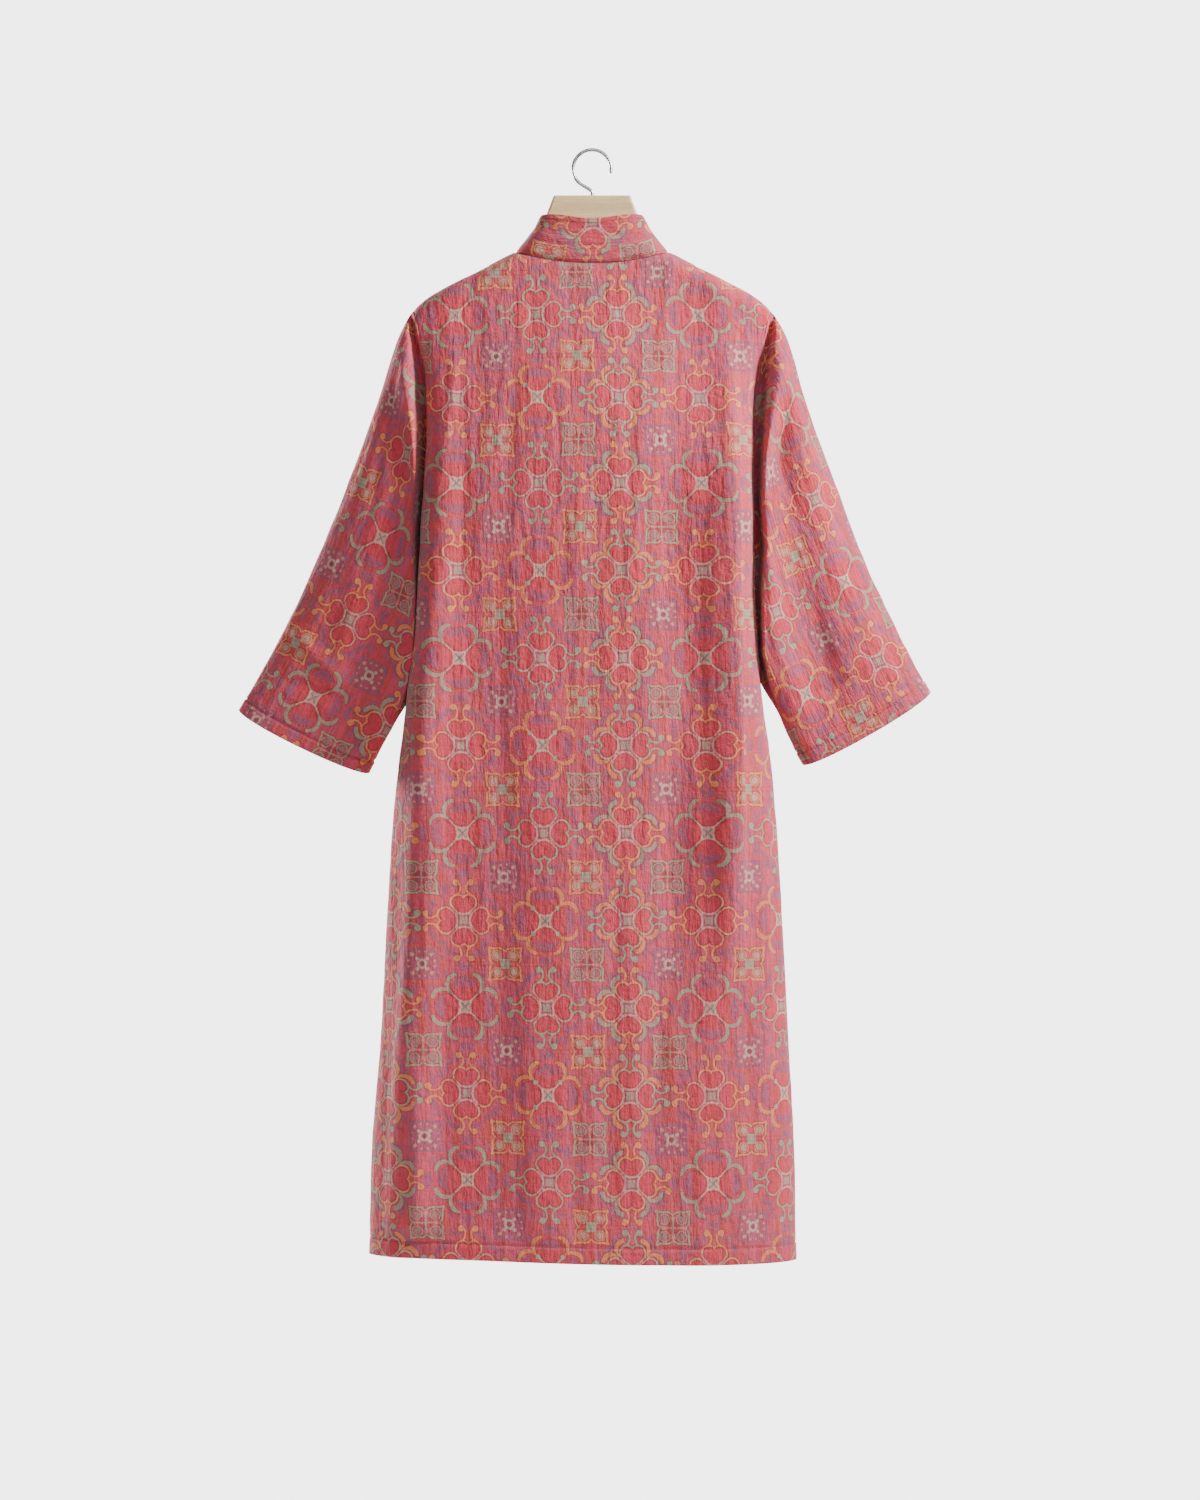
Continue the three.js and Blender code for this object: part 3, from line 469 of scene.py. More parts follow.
def gauze_material():
    material, tree, shader = new_material("crinkled_gauze")
    new, link = tree.nodes.new, tree.links.new
    uv, split, bend = new("ShaderNodeUVMap"), new("ShaderNodeSeparateXYZ"), new("ShaderNodeSeparateColor")
    uv.uv_map = "cut"
    here = uv.outputs[0]
    link(here, split.inputs[0])
    link(noise(tree, here, (620, 420), 1.0, tinted=True), bend.inputs[0])
    u, v = (Number(tree, split.outputs[k]) * 1000 + (Number(tree, bend.outputs[k]) - 0.5) * 1.6
            for k in range(2))
    s, t = (u - LATTICE[0]) / PITCH[0], (v - LATTICE[1]) / PITCH[1]

    def fold(x, y):
        """The distances from the two axes, the smaller and the larger, and both as a vector."""
        a, b = x.abs().least(y.abs()), x.abs().most(y.abs())
        join = new("ShaderNodeCombineXYZ")
        link(a.socket, join.inputs[0])
        link(b.socket, join.inputs[1])
        return a, b, join.outputs[0]

    def circle(place, x, y):
        """The distance from a circle's middle."""
        node = new("ShaderNodeVectorMath")
        node.operation = "DISTANCE"
        link(place, node.inputs[0])
        node.inputs[1].default_value = (x, y, 0)
        return Number(tree, node.outputs["Value"])

    def ellipse(x, y, middle, wide, high):
        """About the distance to an ellipse that stands on the y axis, negative inside it."""
        out = ((x / wide).math("POWER", 2.0) + ((y - middle) / high).math("POWER", 2.0)).math("SQRT")
        return (out - 1.0) * min(wide, high)

    # rosettes: the distance to each stroke's edge, negative inside it
    column, row = (s + 0.5).floor(), (t + 0.5).floor()
    a, b, place = fold((s - column) * PITCH[0] * 1.02, (t - row) * PITCH[1] * 0.98)
    kind = column.cycle(3) + row.cycle(2) * 3
    leafy = kind.either(1.0, 3.0)
    scroll = 1.0 - leafy
    with_leaves = kind.either(2.0, 5.0)
    heart = (circle(place, 6.1, 19.6) - 6.6).least((circle(place, 0, 20.6) - 12.4).most(b - 19.6))
    stem = ((circle(place, 11.6, 35.2) - 8.5).abs() - 1.1).most(a - 8.4)
    curl = circle(place, 8.0, 40.9) - 3.5
    outline = ((heart - 1.5).abs() - 0.95).most(14.6 - b)
    scroll_lines = stem.least(curl).least(outline)
    cup = ((heart - 0.9).abs() - 0.6).most(b - 14.6)
    leaf = (circle(place, 9.6, 24.6) - 10.4).most(9.0 - circle(place, 7.0, 22.0)).most(9.0 - a)
    leaf = leaf + (1.0 - with_leaves) * FAR
    lobe = ellipse(a, b, 20.4, 14.6, 12.8)
    wreath = (circle(place, 10.2, 25.3) - 11.0).most(10.5 - circle(place, 6.6, 23.0)).most(8.6 - a)
    spoke = ((b - a) - 1.1).most(b - 14.2)
    bud = circle(place, 13.2, 13.8) - 2.3
    square_round = (b - 7.2).most(9.6 - circle(place, 0, 16.0))
    square_scroll = (b - 8.6).most(10.4 - circle(place, 0, 17.8))
    middle = (square_round + scroll * FAR).least(square_scroll + leafy * FAR)
    cross = ((b - a) - 1.3).most(b - 4.9)

    # tiles, in the corners between the rosettes: a square frame, dented in the middle of each side, round
    # four petals
    across, up = s - s.floor() - 0.5, t - t.floor() - 0.5
    ta, tb, tile = fold(across * PITCH[0], up * PITCH[1])
    tile_kind = (s.floor() + 1.0).cycle(3) + t.floor().cycle(2) * 3
    mauve_tile = tile_kind.either(1.0, 3.0)
    plain_tile = 1.0 - mauve_tile
    warm_tile = tile_kind.either(2.0, 4.0)
    dip, horn = (1.0 - ta / 5.8).most(0.0), (ta - 12.5).most(0.0)
    side_line = tb + dip * dip * 3.6 - horn * horn * 0.06
    frame_line = ((side_line - 16.9).abs() - 1.1).most(tb - 19.2)
    bar = (ta - 0.7).most(tb - 12.4).least(circle(tile, 0, 10.6) - 1.9)
    petal_leaf = circle(tile, 9.2, 9.2) - 4.1
    loop_line = (circle(tile, 9.3, 9.3) - 5.4).abs() - 0.6
    seed = tb - 5.6
    ring = circle(tile, 0, 0)
    corner_speck = circle(tile, 10.4, 10.4) - 2.0
    star = ((ring - 4.4).abs() - 1.4).least(circle(tile, 5.6, 5.6) - 2.0)
    specks = corner_speck.least(circle(tile, 3.2, 13.4) - 1.3)

    # grey noises: how many to a metre across and up, detail, roughness, seed
    band, streak, slub, weft, cloud, speck, pucker, ripple, dimple = (
        noise(tree, here, (wide, high), detail, rough, shift) for wide, high, detail, rough, shift in (
            (96, 5, 1, 0.5, 1), (300, 34, 3, 0.6, 3), (760, 150, 2, 0.5, 7), (80, 520, 2, 0.5, 9),
            (90, 80, 2, 0.6, 11), (640, 480, 1, 0.5, 17), (150, 22, 3, 0.55, 23), (420, 80, 2, 0.5, 29),
            (130, 110, 2, 0.5, 31)))
    mottled = speck.inside(0.52, 0.4) * 0.50 + 0.42
    seen = (speck.inside(0.58, 0.4) * 0.44 + 0.46) * (weft.inside(0.58, 0.2) * 0.30 + 0.78)

    # mauve floats on the lobes' outer half and round the rosettes
    beside = a * -1.0
    shade = leafy * lobe.inside(-0.6, 1.5) * (b * -1.0).inside(-22.5, 6.0)
    for patch in (
            (circle(place, 2.6, 43.0) - 5.4).inside(0.0, 2.5) * (leafy * 0.6 + 0.35),
            (circle(place, 20.0, 35.0) - 5.5).inside(0.0, 4.0) * cloud.inside(0.56, 0.2) * 0.7,
            scroll * (circle(place, 8.0, 21.0) - 15.0).stroke(3.0, 3.0) * beside.inside(-6.0, 4.0)
            * cloud.inside(0.60, 0.2),
            leafy * (circle(place, 7.0, 23.5) - 15.6).stroke(1.4, 3.0) * beside.inside(-9.0, 4.0) * 0.5):
        shade = shade.most(patch)

    # what the dark edge runs round
    rosette = (scroll_lines.least(leaf) + leafy * FAR).least(wreath.least(bud) + scroll * FAR)
    petals = frame_line.least(petal_leaf).least(seed) + mauve_tile * FAR
    waist = ((up * PITCH[1]).abs() - 2.2).stroke(0.4, 0.8) * (ta - 5).inside()

    line_yarn = blend(tree, YARN["grey"], YARN["orange"], kind.either(0.0, 5.0))
    warm_outline = blend(tree, line_yarn, YARN["light"], outline.inside() * a.inside(12.0, -1.0) * 0.5)
    wreath_yarn = blend(tree, YARN["grey"], YARN["orange"], row.cycle(2).inside(0.5))
    ink = blend(tree, YARN["dark"], YARN["orange"], (scroll - kind.equals(2.0)) * 0.8)
    tile_yarn = blend(tree, YARN["grey"], YARN["orange"], warm_tile * 0.9)
    inner_yarn = blend(tree, YARN["purple"], YARN["light"], warm_tile * 0.6 + 0.4)

    # the cloth's colours, laid one over another: the warp's reds, the lobes, the dark warp thread that edges
    # every figure, then the figures
    colour = YARN["ground"]
    for yarn, share in (
            ("rose", band.inside(0.50, 0.20) * 0.75),
            ("deep", streak.inside(0.50, 0.40) * 0.30),
            ("purple", cloud.inside(0.36, 0.16) * 0.20),
            ("bright", (scroll * heart.inside(0.0, 1.0)).most(leafy * lobe.inside(0.0, 1.0))
             * (streak * 0.5 + 0.24)),
            ("purple", shade * mottled),
            ("edge", rosette.least(petals).inside(0.9, 1.0) * 0.50),
            ("edge", leafy * (lobe + 0.2).stroke(0.4, 0.9) * 0.50),
            ("edge", scroll * (heart + 0.7).stroke(0.4, 0.9) * 0.34),
            ("edge", plain_tile * (side_line - 14.9).stroke(0.4, 0.9) * 0.25),
            ("light", scroll * cup.inside() * 0.50),
            (wreath_yarn, scroll * leaf.inside() * seen * 0.86),
            (warm_outline, scroll * scroll_lines.inside() * seen),
            (wreath_yarn, leafy * wreath.inside() * seen * 0.86),
            ("light", leafy * spoke.inside() * 0.66),
            ("grey", kind.equals(1.0) * bud.inside() * 0.8),
            ("light", leafy * middle.inside() * seen * 0.80),
            ("purple", scroll * middle.inside() * 0.36),
            ("light", scroll * (middle + 0.9).stroke(0.7, 0.8) * 0.66),
            ("grey", scroll * (b - 4.2).inside() * 0.62),
            ("edge", scroll * (b - 4.7).stroke(0.4, 0.8) * 0.34),
            (ink, (cross + scroll * 1.2).inside() * 0.72),
            ("purple", mauve_tile * tb.inside(17.6) * mottled * 0.80),
            ("purple", mauve_tile * (tb - 16.6).stroke(1.1) * 0.45),
            ("orange", mauve_tile * specks.inside() * 0.60),
            ("grey", mauve_tile * corner_speck.inside() * 0.5),
            ("light", mauve_tile * star.inside(0.0, 0.8) * seen * 0.86),
            ("edge", mauve_tile * (ring - 2.4).inside() * 0.5),
            ("edge", plain_tile * loop_line.inside(0.9) * 0.34),
            (tile_yarn, plain_tile * loop_line.inside() * seen * 0.90),
            (inner_yarn, plain_tile * petal_leaf.inside(0.0, 1.6) * 0.52),
            (tile_yarn, plain_tile * frame_line.inside() * seen),
            ("grey", plain_tile * bar.inside() * (1.0 - warm_tile) * 0.60),
            ("grey", warm_tile * plain_tile * seed.inside() * 0.74),
            ("edge", warm_tile * plain_tile * waist * 0.35)):
        colour = blend(tree, colour, YARN[yarn] if isinstance(yarn, str) else yarn, share)

    # yarn by yarn the cloth is lighter and darker
    shade_node = new("ShaderNodeHueSaturation")
    value = streak * 0.20 + slub * 0.34 + weft * 0.30 + speck * 0.30 + 0.42
    link(value.socket, shade_node.inputs["Value"])
    link(colour, shade_node.inputs["Color"])
    link(shade_node.outputs[0], shader.inputs["Base Color"])

    # the finest crinkle: puckers down the cloth, and the open weave
    add_bump(tree, shader, pucker * 0.75 + ripple * 0.26 + dimple * 0.60 + speck * 0.14, 0.0021)
    set_inputs(shader, {"Roughness": 0.92, "Sheen Weight": 0.18, "Sheen Roughness": 0.6,
                        "Specular IOR Level": 0.25})
    print("gauze nodes:", len(tree.nodes))
    return material


gauze = gauze_material()

# %% [markdown]
# ## The back
# One panel, straight down the grain, with the nape cut out at the top. Its columns bunch up at the side
# seams, where the cloth rolls inwards, and its rows bunch up at the hem, where 18 mm is turned up and
# stitched.

# %% Make the back panel
HEM = 18.0
HEM_STITCHES = 12  # the row of points that lies on the hem's stitch line
BACK_COLUMNS, ARM_ROWS = 171, 74
hem_rows = np.concatenate([np.arange(0, 32, 1.5), np.linspace(33, UNDERARM, 160)])
arm_turns = 1 - np.arange(1, ARM_ROWS + 1) / ARM_ROWS
_, _, arm_heights = armhole(1, 1, arm_turns)
row_height = np.concatenate([hem_rows, arm_heights])
row_lift = np.concatenate([hem_rows * 0, (arm_heights - UNDERARM) / (SHOULDER_H - UNDERARM)])
row_turn = np.concatenate([hem_rows * 0 + 1, arm_turns])


def bunched(count, ends):
    """Shares from -1 to 1 that bunch up towards both ends."""
    s = np.linspace(-1, 1, count)
    return s + ends * np.sin(np.pi * s) / np.pi


def row_end(hand, side):
    """The seam end of each row, at the side seam or the armhole."""
    x, y, height = armhole(hand, side, row_turn)
    low = row_lift == 0
    under = SLEEVES[hand]["inX"][0] - half_width(hand, UNDERARM)
    x = np.where(low, hand * (half_width(hand, row_height) + under * smooth(700, UNDERARM, row_height)), x)
    y = np.where(low, side * SEAM / 2, y)
    return x, y, np.where(low, row_height, height)


def back_top(x):
    nape = mix(NAPE_H, NECK_H, (np.abs(x) / NECK_X) ** 2.4)
    return np.where(np.abs(x) >= NECK_X, ridge(x), nape)


def back_grid(shares):
    left, right = row_end(1, 1), row_end(-1, 1)
    share = shares[None, :]
    x_end = np.where(share >= 0, left[0][:, None], -right[0][:, None])
    y_end = np.where(share >= 0, left[1][:, None], right[1][:, None])
    x = share * x_end
    top = back_top(share * SHOULDER_X)
    lift = row_lift[:, None]
    height = np.where(lift > 0, mix(UNDERARM, top, lift), row_height[:, None])
    y = np.maximum(SEAM / 2, body_y(1, x, height, share, y_end))
    y = np.where(np.abs(share) >= 1, y_end, y)
    return np.stack([x, y, height], -1)


def flat_cut(grid, middle):
    """Where each point lies on the flat cloth: the way across from a middle column, and the way up."""
    u = running(spacing(grid[..., :2], 1), 1)
    u = u - u[:, middle:middle + 1]
    v = running(spacing(grid, 0))
    level = int(np.searchsorted(row_height, UNDERARM))
    return u, np.where(row_lift[:, None] > 0, v - v[level:level + 1] + UNDERARM, grid[..., 2])


def seam_roll(distance, depth=1.4, reach=3.2):
    return -depth * bell(distance, reach)


def in_the_gap(height):
    """Where the armhole seam lies deep in the gap, the edges meet face to face and don't roll apart."""
    return 1 - 1.25 * smooth(770, 815, height) * (1 - smooth(990, 1030, height))


def panel(node, base, out, d, uv):
    """Makes a panel from its form moved out by d, sews its hem and keeps the size of its cut."""
    name, moved = "robe_" + node, base + out * d[..., None]
    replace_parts(cloth_piece(name, moved, out, np.stack(uv, -1), CLOTH, gauze), node)
    sewn(moved[HEM_STITCHES, 2:-2], out[HEM_STITCHES, 2:-2])


base = back_grid(bunched(BACK_COLUMNS, 0.25))
u, v = flat_cut(base, BACK_COLUMNS // 2)
u = -u
out = normals(base, np.array([0, 1.0, 0]))
edge = np.minimum(np.abs(u - u[:, :1]), np.abs(u - u[:, -1:]))
top_edge = v.max(axis=0)[None, :] - v
free = smooth(0, 16, edge) * smooth(0, 14, top_edge)
creased = folds(CREASES, 1, base[..., 0], base[..., 2]) + crinkle(u, v, 5)
d = creased * free * smooth(14, 40, v) + seam_roll(edge) * in_the_gap(base[..., 2])
d = d + seam_roll(top_edge, 1.2) * smooth(0, 20, edge)
d = d + turned_edge(u, v, HEM, 41) + 0.6 * wave(u, 0, 34, 10, 43) * (1 - smooth(0, 120, v))
panel("back", base, out, d, (u - LEAN * (900 - v), v))

# %% [markdown]
# ## The fronts
# The left front laps over the right one. Each runs from its side seam to the neck band, which takes the
# front edge from the hem to the neck. The way across is shared out from the band's seam to the side seam.

# %% Make both fronts
def front_surface(hand, x, height):
    share = np.clip(np.abs(x) / half_width(x, np.minimum(height, 860)), 0, 1)
    y = np.minimum(-SEAM / 2, body_y(-1, x, height, share, 0 * share))
    return y + (lap_back(x, height) if hand < 0 else 0)


def front_seam(hand):
    height = np.where(row_lift > 0, mix(UNDERARM, NECK_H, row_lift), row_height)
    x = hand * read(FRONT_SEAM, "height", "x", height)
    y = front_surface(hand, x, height)
    y = np.where(row_lift >= 1, -SEAM / 2, y)
    return x, y, height


def front_grid(hand, shares):
    seam_x, _, _ = front_seam(hand)
    end_x, end_y, _ = row_end(hand, -1)
    share = shares[None, :]
    x = mix(seam_x[:, None] + hand * SEAM, end_x[:, None], share)
    top = ridge(mix(NECK_X, SHOULDER_X, share))
    lift = row_lift[:, None]
    height = np.where(lift > 0, mix(UNDERARM, top, lift), row_height[:, None])
    y = body_y(-1, x, height, np.clip(x / end_x[:, None], 0, 1), -end_y[:, None])
    y = np.minimum(-SEAM / 2, y + (lap_back(x, height) if hand < 0 else 0))
    y = np.where(share >= 1, end_y[:, None], y)
    return np.stack([x, y, height], -1)


for hand, name in ((1, "left"), (-1, "right")):
    shares = (bunched(84, 0.35) + 1) / 2
    base = front_grid(hand, shares)
    u, v = flat_cut(base, 0)
    u = hand * (u + np.abs(base[:, :1, 0]))
    out = normals(base, np.array([0, -1.0, 0]))
    edge, band_edge = np.abs(u - u[:, -1:]), np.abs(u - u[:, :1])
    top_edge = v.max(axis=0)[None, :] - v
    free = smooth(0, 16, edge) * smooth(0, 10, band_edge) * smooth(0, 14, top_edge)
    creased = folds(CREASES, -1, base[..., 0], base[..., 2]) + crinkle(u, v, 50 + hand)
    d = creased * free * smooth(14, 40, v) + seam_roll(edge) + seam_roll(band_edge, 0.9, 2.2)
    d = d + seam_roll(top_edge, 1.0) * smooth(0, 20, edge) + turned_edge(u, v, HEM, 60 + hand)
    panel("front_" + name, base, out, d, (u + PITCH[0] / 2, v + 20))

# %% [markdown]
# ## The sleeves
# Each sleeve is one piece folded along its top and sewn under the arm. It hangs from the armhole to the
# cuff as a flattened tube, tucked in behind the body's side. Creases run from the shoulder towards the
# cuff, short pinches gather at the sleeve head, and a few creases cross near the cuff, where the cloth
# folds on itself.

# %% Make both sleeves
SLEEVE_FOLDS = table("hand side headTurn footTurn head foot spread out", [
    (-1, 1, 0.56, 0.83, 0.0, 0.9, 0.09, 4), (-1, 1, 0.38, 0.62, 0.0, 0.95, 0.09, -7),
    (-1, 1, 0.2, 0.33, 0.0, 1.0, 0.09, 4), (1, 1, 0.5, 0.8, 0.0, 0.78, 0.06, 2.4),
    (1, 1, 0.34, 0.6, 0.0, 0.72, 0.07, -3), (1, 1, 0.16, 0.3, 0.1, 0.9, 0.06, 2.2),
    (0, -1, 0.45, 0.82, 0.0, 0.8, 0.07, 5), (0, -1, 0.3, 0.62, 0.0, 0.8, 0.08, -6),
    (1, 1, 0.2, 0.42, 0.02, 0.6, 0.04, -2.2), (-1, 1, 0.12, 0.25, 0.0, 0.42, 0.03, 1.8),
    (-1, 1, 0.6, 0.8, 0.1, 0.7, 0.03, -2), (1, 1, 0.3, 0.55, 0.3, 0.95, 0.04, 1.8),
    (0, -1, 0.16, 0.3, 0.0, 0.5, 0.04, 2.0), (0, -1, 0.6, 0.75, 0.1, 0.7, 0.04, -2),
    (-1, 1, 0.44, 0.6, 0.5, 1.0, 0.03, -1.6), (0, -1, 0.4, 0.55, 0.4, 1.0, 0.04, 1.6),
    (-1, 1, 0.92, 0.86, 0.5, 1.2, 0.022, -9)])
# creases across a sleeve behind: how far they stand out, their place above the cuff, how steeply they run
# round the tube, where that place holds, how wide they are, and the middle and reach of the crease round it
CROSS_CREASES = ((3.2, 96, -60, 0.4, 9, 0.35, 0.22), (-2.7, 64, 30, 0.5, 7, 0.5, 0.2))
GAP = table("height wide", [
    (530, 3), (600, 3), (640, 5), (690, 9), (750, 11), (812, 14), (900, 18), (1000, 12), (1040, 6)])


def inner_edge(hand, height):
    """How far out the sleeve begins at a height: at its underarm seam or, higher up, at the armhole."""
    x, _, top = armhole(hand, 1, np.linspace(1, 0, 40)[1:])
    heights = np.concatenate([SLEEVES[hand]["inHeight"][::-1], top])
    return np.interp(height, heights, np.concatenate([SLEEVES[hand]["inX"][::-1], hand * x]))


def sleeve_grid(hand, side, turn, along):
    rings = SLEEVES[hand]
    value = lambda column: read(rings, "along", column, along)
    angle = np.pi * turn
    ends = power(np.cos(angle), 2 / SLEEVE_SQUARE)
    # behind, the tube is pressed flat: a tight fold beside the body, then a slope out to the sleeve's top
    pressed = smooth(0.02, 0.16, along) * (side > 0)
    square = SLEEVE_SQUARE + smooth(-0.3, 0.6, -ends) * np.where(side > 0, 3.4 * pressed, -0.5)
    deep = np.maximum(0, 1 - np.abs(ends) ** square) ** (1 / square) * (1 - 0.44 * pressed)
    out = np.zeros(np.broadcast(turn, along).shape)
    for r in each_row(SLEEVE_FOLDS):
        t = (along - r["head"]) / (r["foot"] - r["head"])
        middle = mix(r["headTurn"], r["footTurn"], np.clip(t, 0, 1))
        meant = (side == r["side"]) * (r["hand"] in (0, hand))
        fade = smooth(0, 0.18, t) * (1 - smooth(0.7, 1.05, t)) * meant
        out = out + r["out"] * fade * bell(turn - middle, r["spread"])
    tucked = 8.0 * smooth(0.0, 0.04, along) * (1 - smooth(0.5, 0.78, along))
    x = mix(value("inX") - tucked, value("outX"), (1 + ends) / 2)
    height = mix(value("inHeight"), value("outHeight"), (1 + ends) / 2)
    y = side * (deep * value("depth") + out * np.abs(np.sin(angle))) + value("back")
    y = y + value("tuck") * (1 - ends) / 2 * (1 - 0.35 * smooth(0.02, 0.2, along))
    bow = CUFF_BOW * smooth(0.7, 1, along) * np.sin(angle) * np.where(side > 0, 1, 0.6)
    free = np.stack([hand * (x + 0.43 * bow), y, height - 0.9 * bow], -1)
    ax, ay, ah = armhole(hand, side, turn)
    seam = np.stack(np.broadcast_arrays(ax + hand * SEAM, ay, ah), -1)
    grid = mix(seam, free, smooth(0, 0.07, along)[..., None])
    # beside the body the back layer drops into a narrow gap, which ends in the sleeve's sharp inner fold
    away = (hand * grid[..., 0] - inner_edge(hand, grid[..., 2])) / read(GAP, "height", "wide", grid[..., 2])
    drop = (1 - smooth(0.4, 1.0, away)) * smooth(0, 0.03, along) * (1 - smooth(0.5, 0.8, along))
    grid[..., 1] *= np.where(grid[..., 1] > 0, 1 - 0.95 * drop, 1)
    return grid


CUFF = 15.0
GRAIN = math.radians(24)
HALF_ROUND = 85  # points from the top fold to the underarm seam
for hand, name in ((1, "left"), (-1, "right")):
    half = (bunched(HALF_ROUND + 1, 0.2)[:-1] + 1) / 2
    turn = np.concatenate([half, 1 - half])[None, :]
    side = np.repeat([1.0, -1.0], HALF_ROUND)[None, :]
    along = np.concatenate([np.linspace(0, 0.94, 150) ** 1.1, np.linspace(0.945, 1, 20)])[:, None]
    base = sleeve_grid(hand, side, turn, along)
    down = np.array([hand * math.sin(GRAIN), 0, -math.cos(GRAIN)])
    across = np.array([hand * math.cos(GRAIN), 0, math.sin(GRAIN)])
    ring = np.concatenate([base, base[:, :1]], axis=1)
    step = np.diff(ring, axis=1)
    round_it = running(np.sqrt((step @ across) ** 2 + step[..., 1] ** 2), 1)
    under = np.abs(round_it - round_it[:, HALF_ROUND:HALF_ROUND + 1])[:, :-1]
    # the cut is laid open at the underarm seam, so u is measured from the top fold both ways
    up = 900 - (ring - np.array([hand * SHOULDER_X, 0, SHOULDER_H])) @ down
    behind = round_it[:, :HALF_ROUND + 1], up[:, :HALF_ROUND + 1]
    ahead = round_it[:, HALF_ROUND:] - round_it[:, -1:], up[:, HALF_ROUND:]
    u = np.concatenate([behind[0][:, :-1], ahead[0][:, :-1]], axis=1)
    v = up[:, :-1]
    to_cuff = running(spacing(base, 0)[::-1])[::-1]
    to_head = to_cuff[:1] - to_cuff
    pad = np.concatenate([base[:, -1:], base, base[:, :1]], axis=1)
    facing = np.sign(pad[..., 1:2] - pad[..., 1:2].mean()) * np.array([0, 1.0, 0])
    out = normals(pad, facing)[:, 1:-1]
    cross = sum(height * bell(to_cuff - place - slant * (turn - pivot), wide) * bell(turn - middle, reach)
                for height, place, slant, pivot, wide, middle, reach in CROSS_CREASES)
    pinch = 1.1 * np.sin(turn * 55 + 1.3) * bell(to_head, 26) * smooth(0.02, 0.08, turn) * (turn < 0.5)
    d = crinkle(u, v, 80 + hand) * smooth(0, 14, under) + cross * (side > 0)
    d = d * smooth(3, 22, to_head) * smooth(12, 34, to_cuff) + seam_roll(under, 1.0) * smooth(12, 34, to_cuff)
    meeting = np.where(side > 0, in_the_gap(base[..., 2]), 1)
    d = d + pinch * smooth(2, 10, to_head) + seam_roll(to_head, 1.2) * meeting
    d = d + turned_edge(u, to_cuff, CUFF, 90 + hand)
    uv = np.stack([-hand * (u - 190), v + SLEEVE_START[hand]], -1)
    moved = base + out * d[..., None]
    sleeve = cloth_piece("robe_sleeve_" + name, moved, out, uv, CLOTH, gauze, wrap=True)
    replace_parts(sleeve, "sleeve_" + name)
    level = int(np.argmin(np.abs(to_cuff.mean(axis=1) - CUFF)))
    sewn(moved[level], out[level], closed=True)

# %% [markdown]
# ## The neck band
# One strip, folded double along its free edge, runs up the left front, round the neck and down the right
# front. Each station across it is a loop: out from the seam to the fold, round the fold, and back inside.

# %% Make the neck band
def band_stations():
    stations = []
    for hand in (1, -1):
        x, y, height = front_seam(hand)
        reach = {c: read(BAND_REACH, "height", c, np.minimum(height, NECK_H))
                 for c in ("inward", "up", "freeY")}
        free_x, free_h = x - hand * reach["inward"], height + reach["up"]
        lying = front_surface(hand, free_x, free_h)
        free_y = mix(lying, -reach["freeY"], smooth(960, 1050, height))
        seam, free = np.stack([x, y, height], -1), np.stack([free_x, free_y, free_h], -1)
        stations.append((seam, free) if hand > 0 else (seam[::-1], free[::-1]))
    shares = np.linspace(1, -1, 64)[1:-1]
    x = shares * NECK_X
    height = back_top(x)
    seam = np.stack([x, np.maximum(SEAM / 2, body_y(1, x, height, x / SHOULDER_X, 0 * x)), height], -1)
    away = np.abs(shares)
    angle = away ** 1.5 * np.pi / 2
    rise, fall = 5 * smooth(0, 0.6, away), 7 * smooth(0.75, 1, away)
    free = np.stack([np.sign(x) * 60 * np.sin(angle) ** (2 / 3.2), 26 * np.cos(angle) ** (2 / 3.2),
                     1138 + rise - fall], -1)
    stations.insert(1, (seam, free))
    return np.concatenate([s for s, _ in stations]), np.concatenate([f for _, f in stations])


seam, free = band_stations()
way = free - seam
way /= np.linalg.norm(way, axis=1, keepdims=True)
seam = seam + way * SEAM
flat = np.linspace(0, 1, 15)
centre = seam[:, None] + (free - seam)[:, None] * flat[None, :, None]
run = np.gradient(seam, axis=0)
out = np.cross(way, run)
out /= np.linalg.norm(out, axis=1, keepdims=True)
out *= -1 if out[40, 1] > 0 else 1  # a station on the left front, which faces away from the back
length = running(spacing(0.5 * (seam + free), 0))
width = np.linalg.norm(free - seam, axis=1)
across = flat[None, :] * width[:, None]
soft = crinkle(across, length[:, None], 120) * 0.45 * smooth(0, 8, across)
soft = soft * smooth(0, 6, width[:, None] - across) + seam_roll(across, 0.8, 2.0)
hem_near = np.minimum(length, length[-1] - length)[:, None]
soft = soft * smooth(6, 20, hem_near) - 0.5 * bell(hem_near - HEM, 1.6)
half = BAND_CLOTH / 2
outer = centre + out[:, None] * soft[..., None]
inner = centre[:, ::-1] - out[:, None] * (BAND_CLOTH - 0.3)
nose_turns = np.linspace(0, np.pi, 7)[1:-1]
rim = free[:, None] - out[:, None] * half + half * (
    out[:, None] * np.cos(nose_turns)[None, :, None] + way[:, None] * 0.9 * np.sin(nose_turns)[None, :, None])
loop = np.concatenate([outer, rim, inner], axis=1)
across_loop = np.concatenate(
    [across, width[:, None] + nose_turns[None, :], (2 * width[:, None] - across[:, ::-1]) + 4], axis=1)
rows, columns = loop.shape[:2]
ids = np.arange(rows * columns).reshape(rows, columns)
ids = np.concatenate([ids, ids[:, :1]], axis=1)
quads = [np.stack([ids[:-1, :-1], ids[:-1, 1:], ids[1:, 1:], ids[1:, :-1]], -1).reshape(-1, 4)]
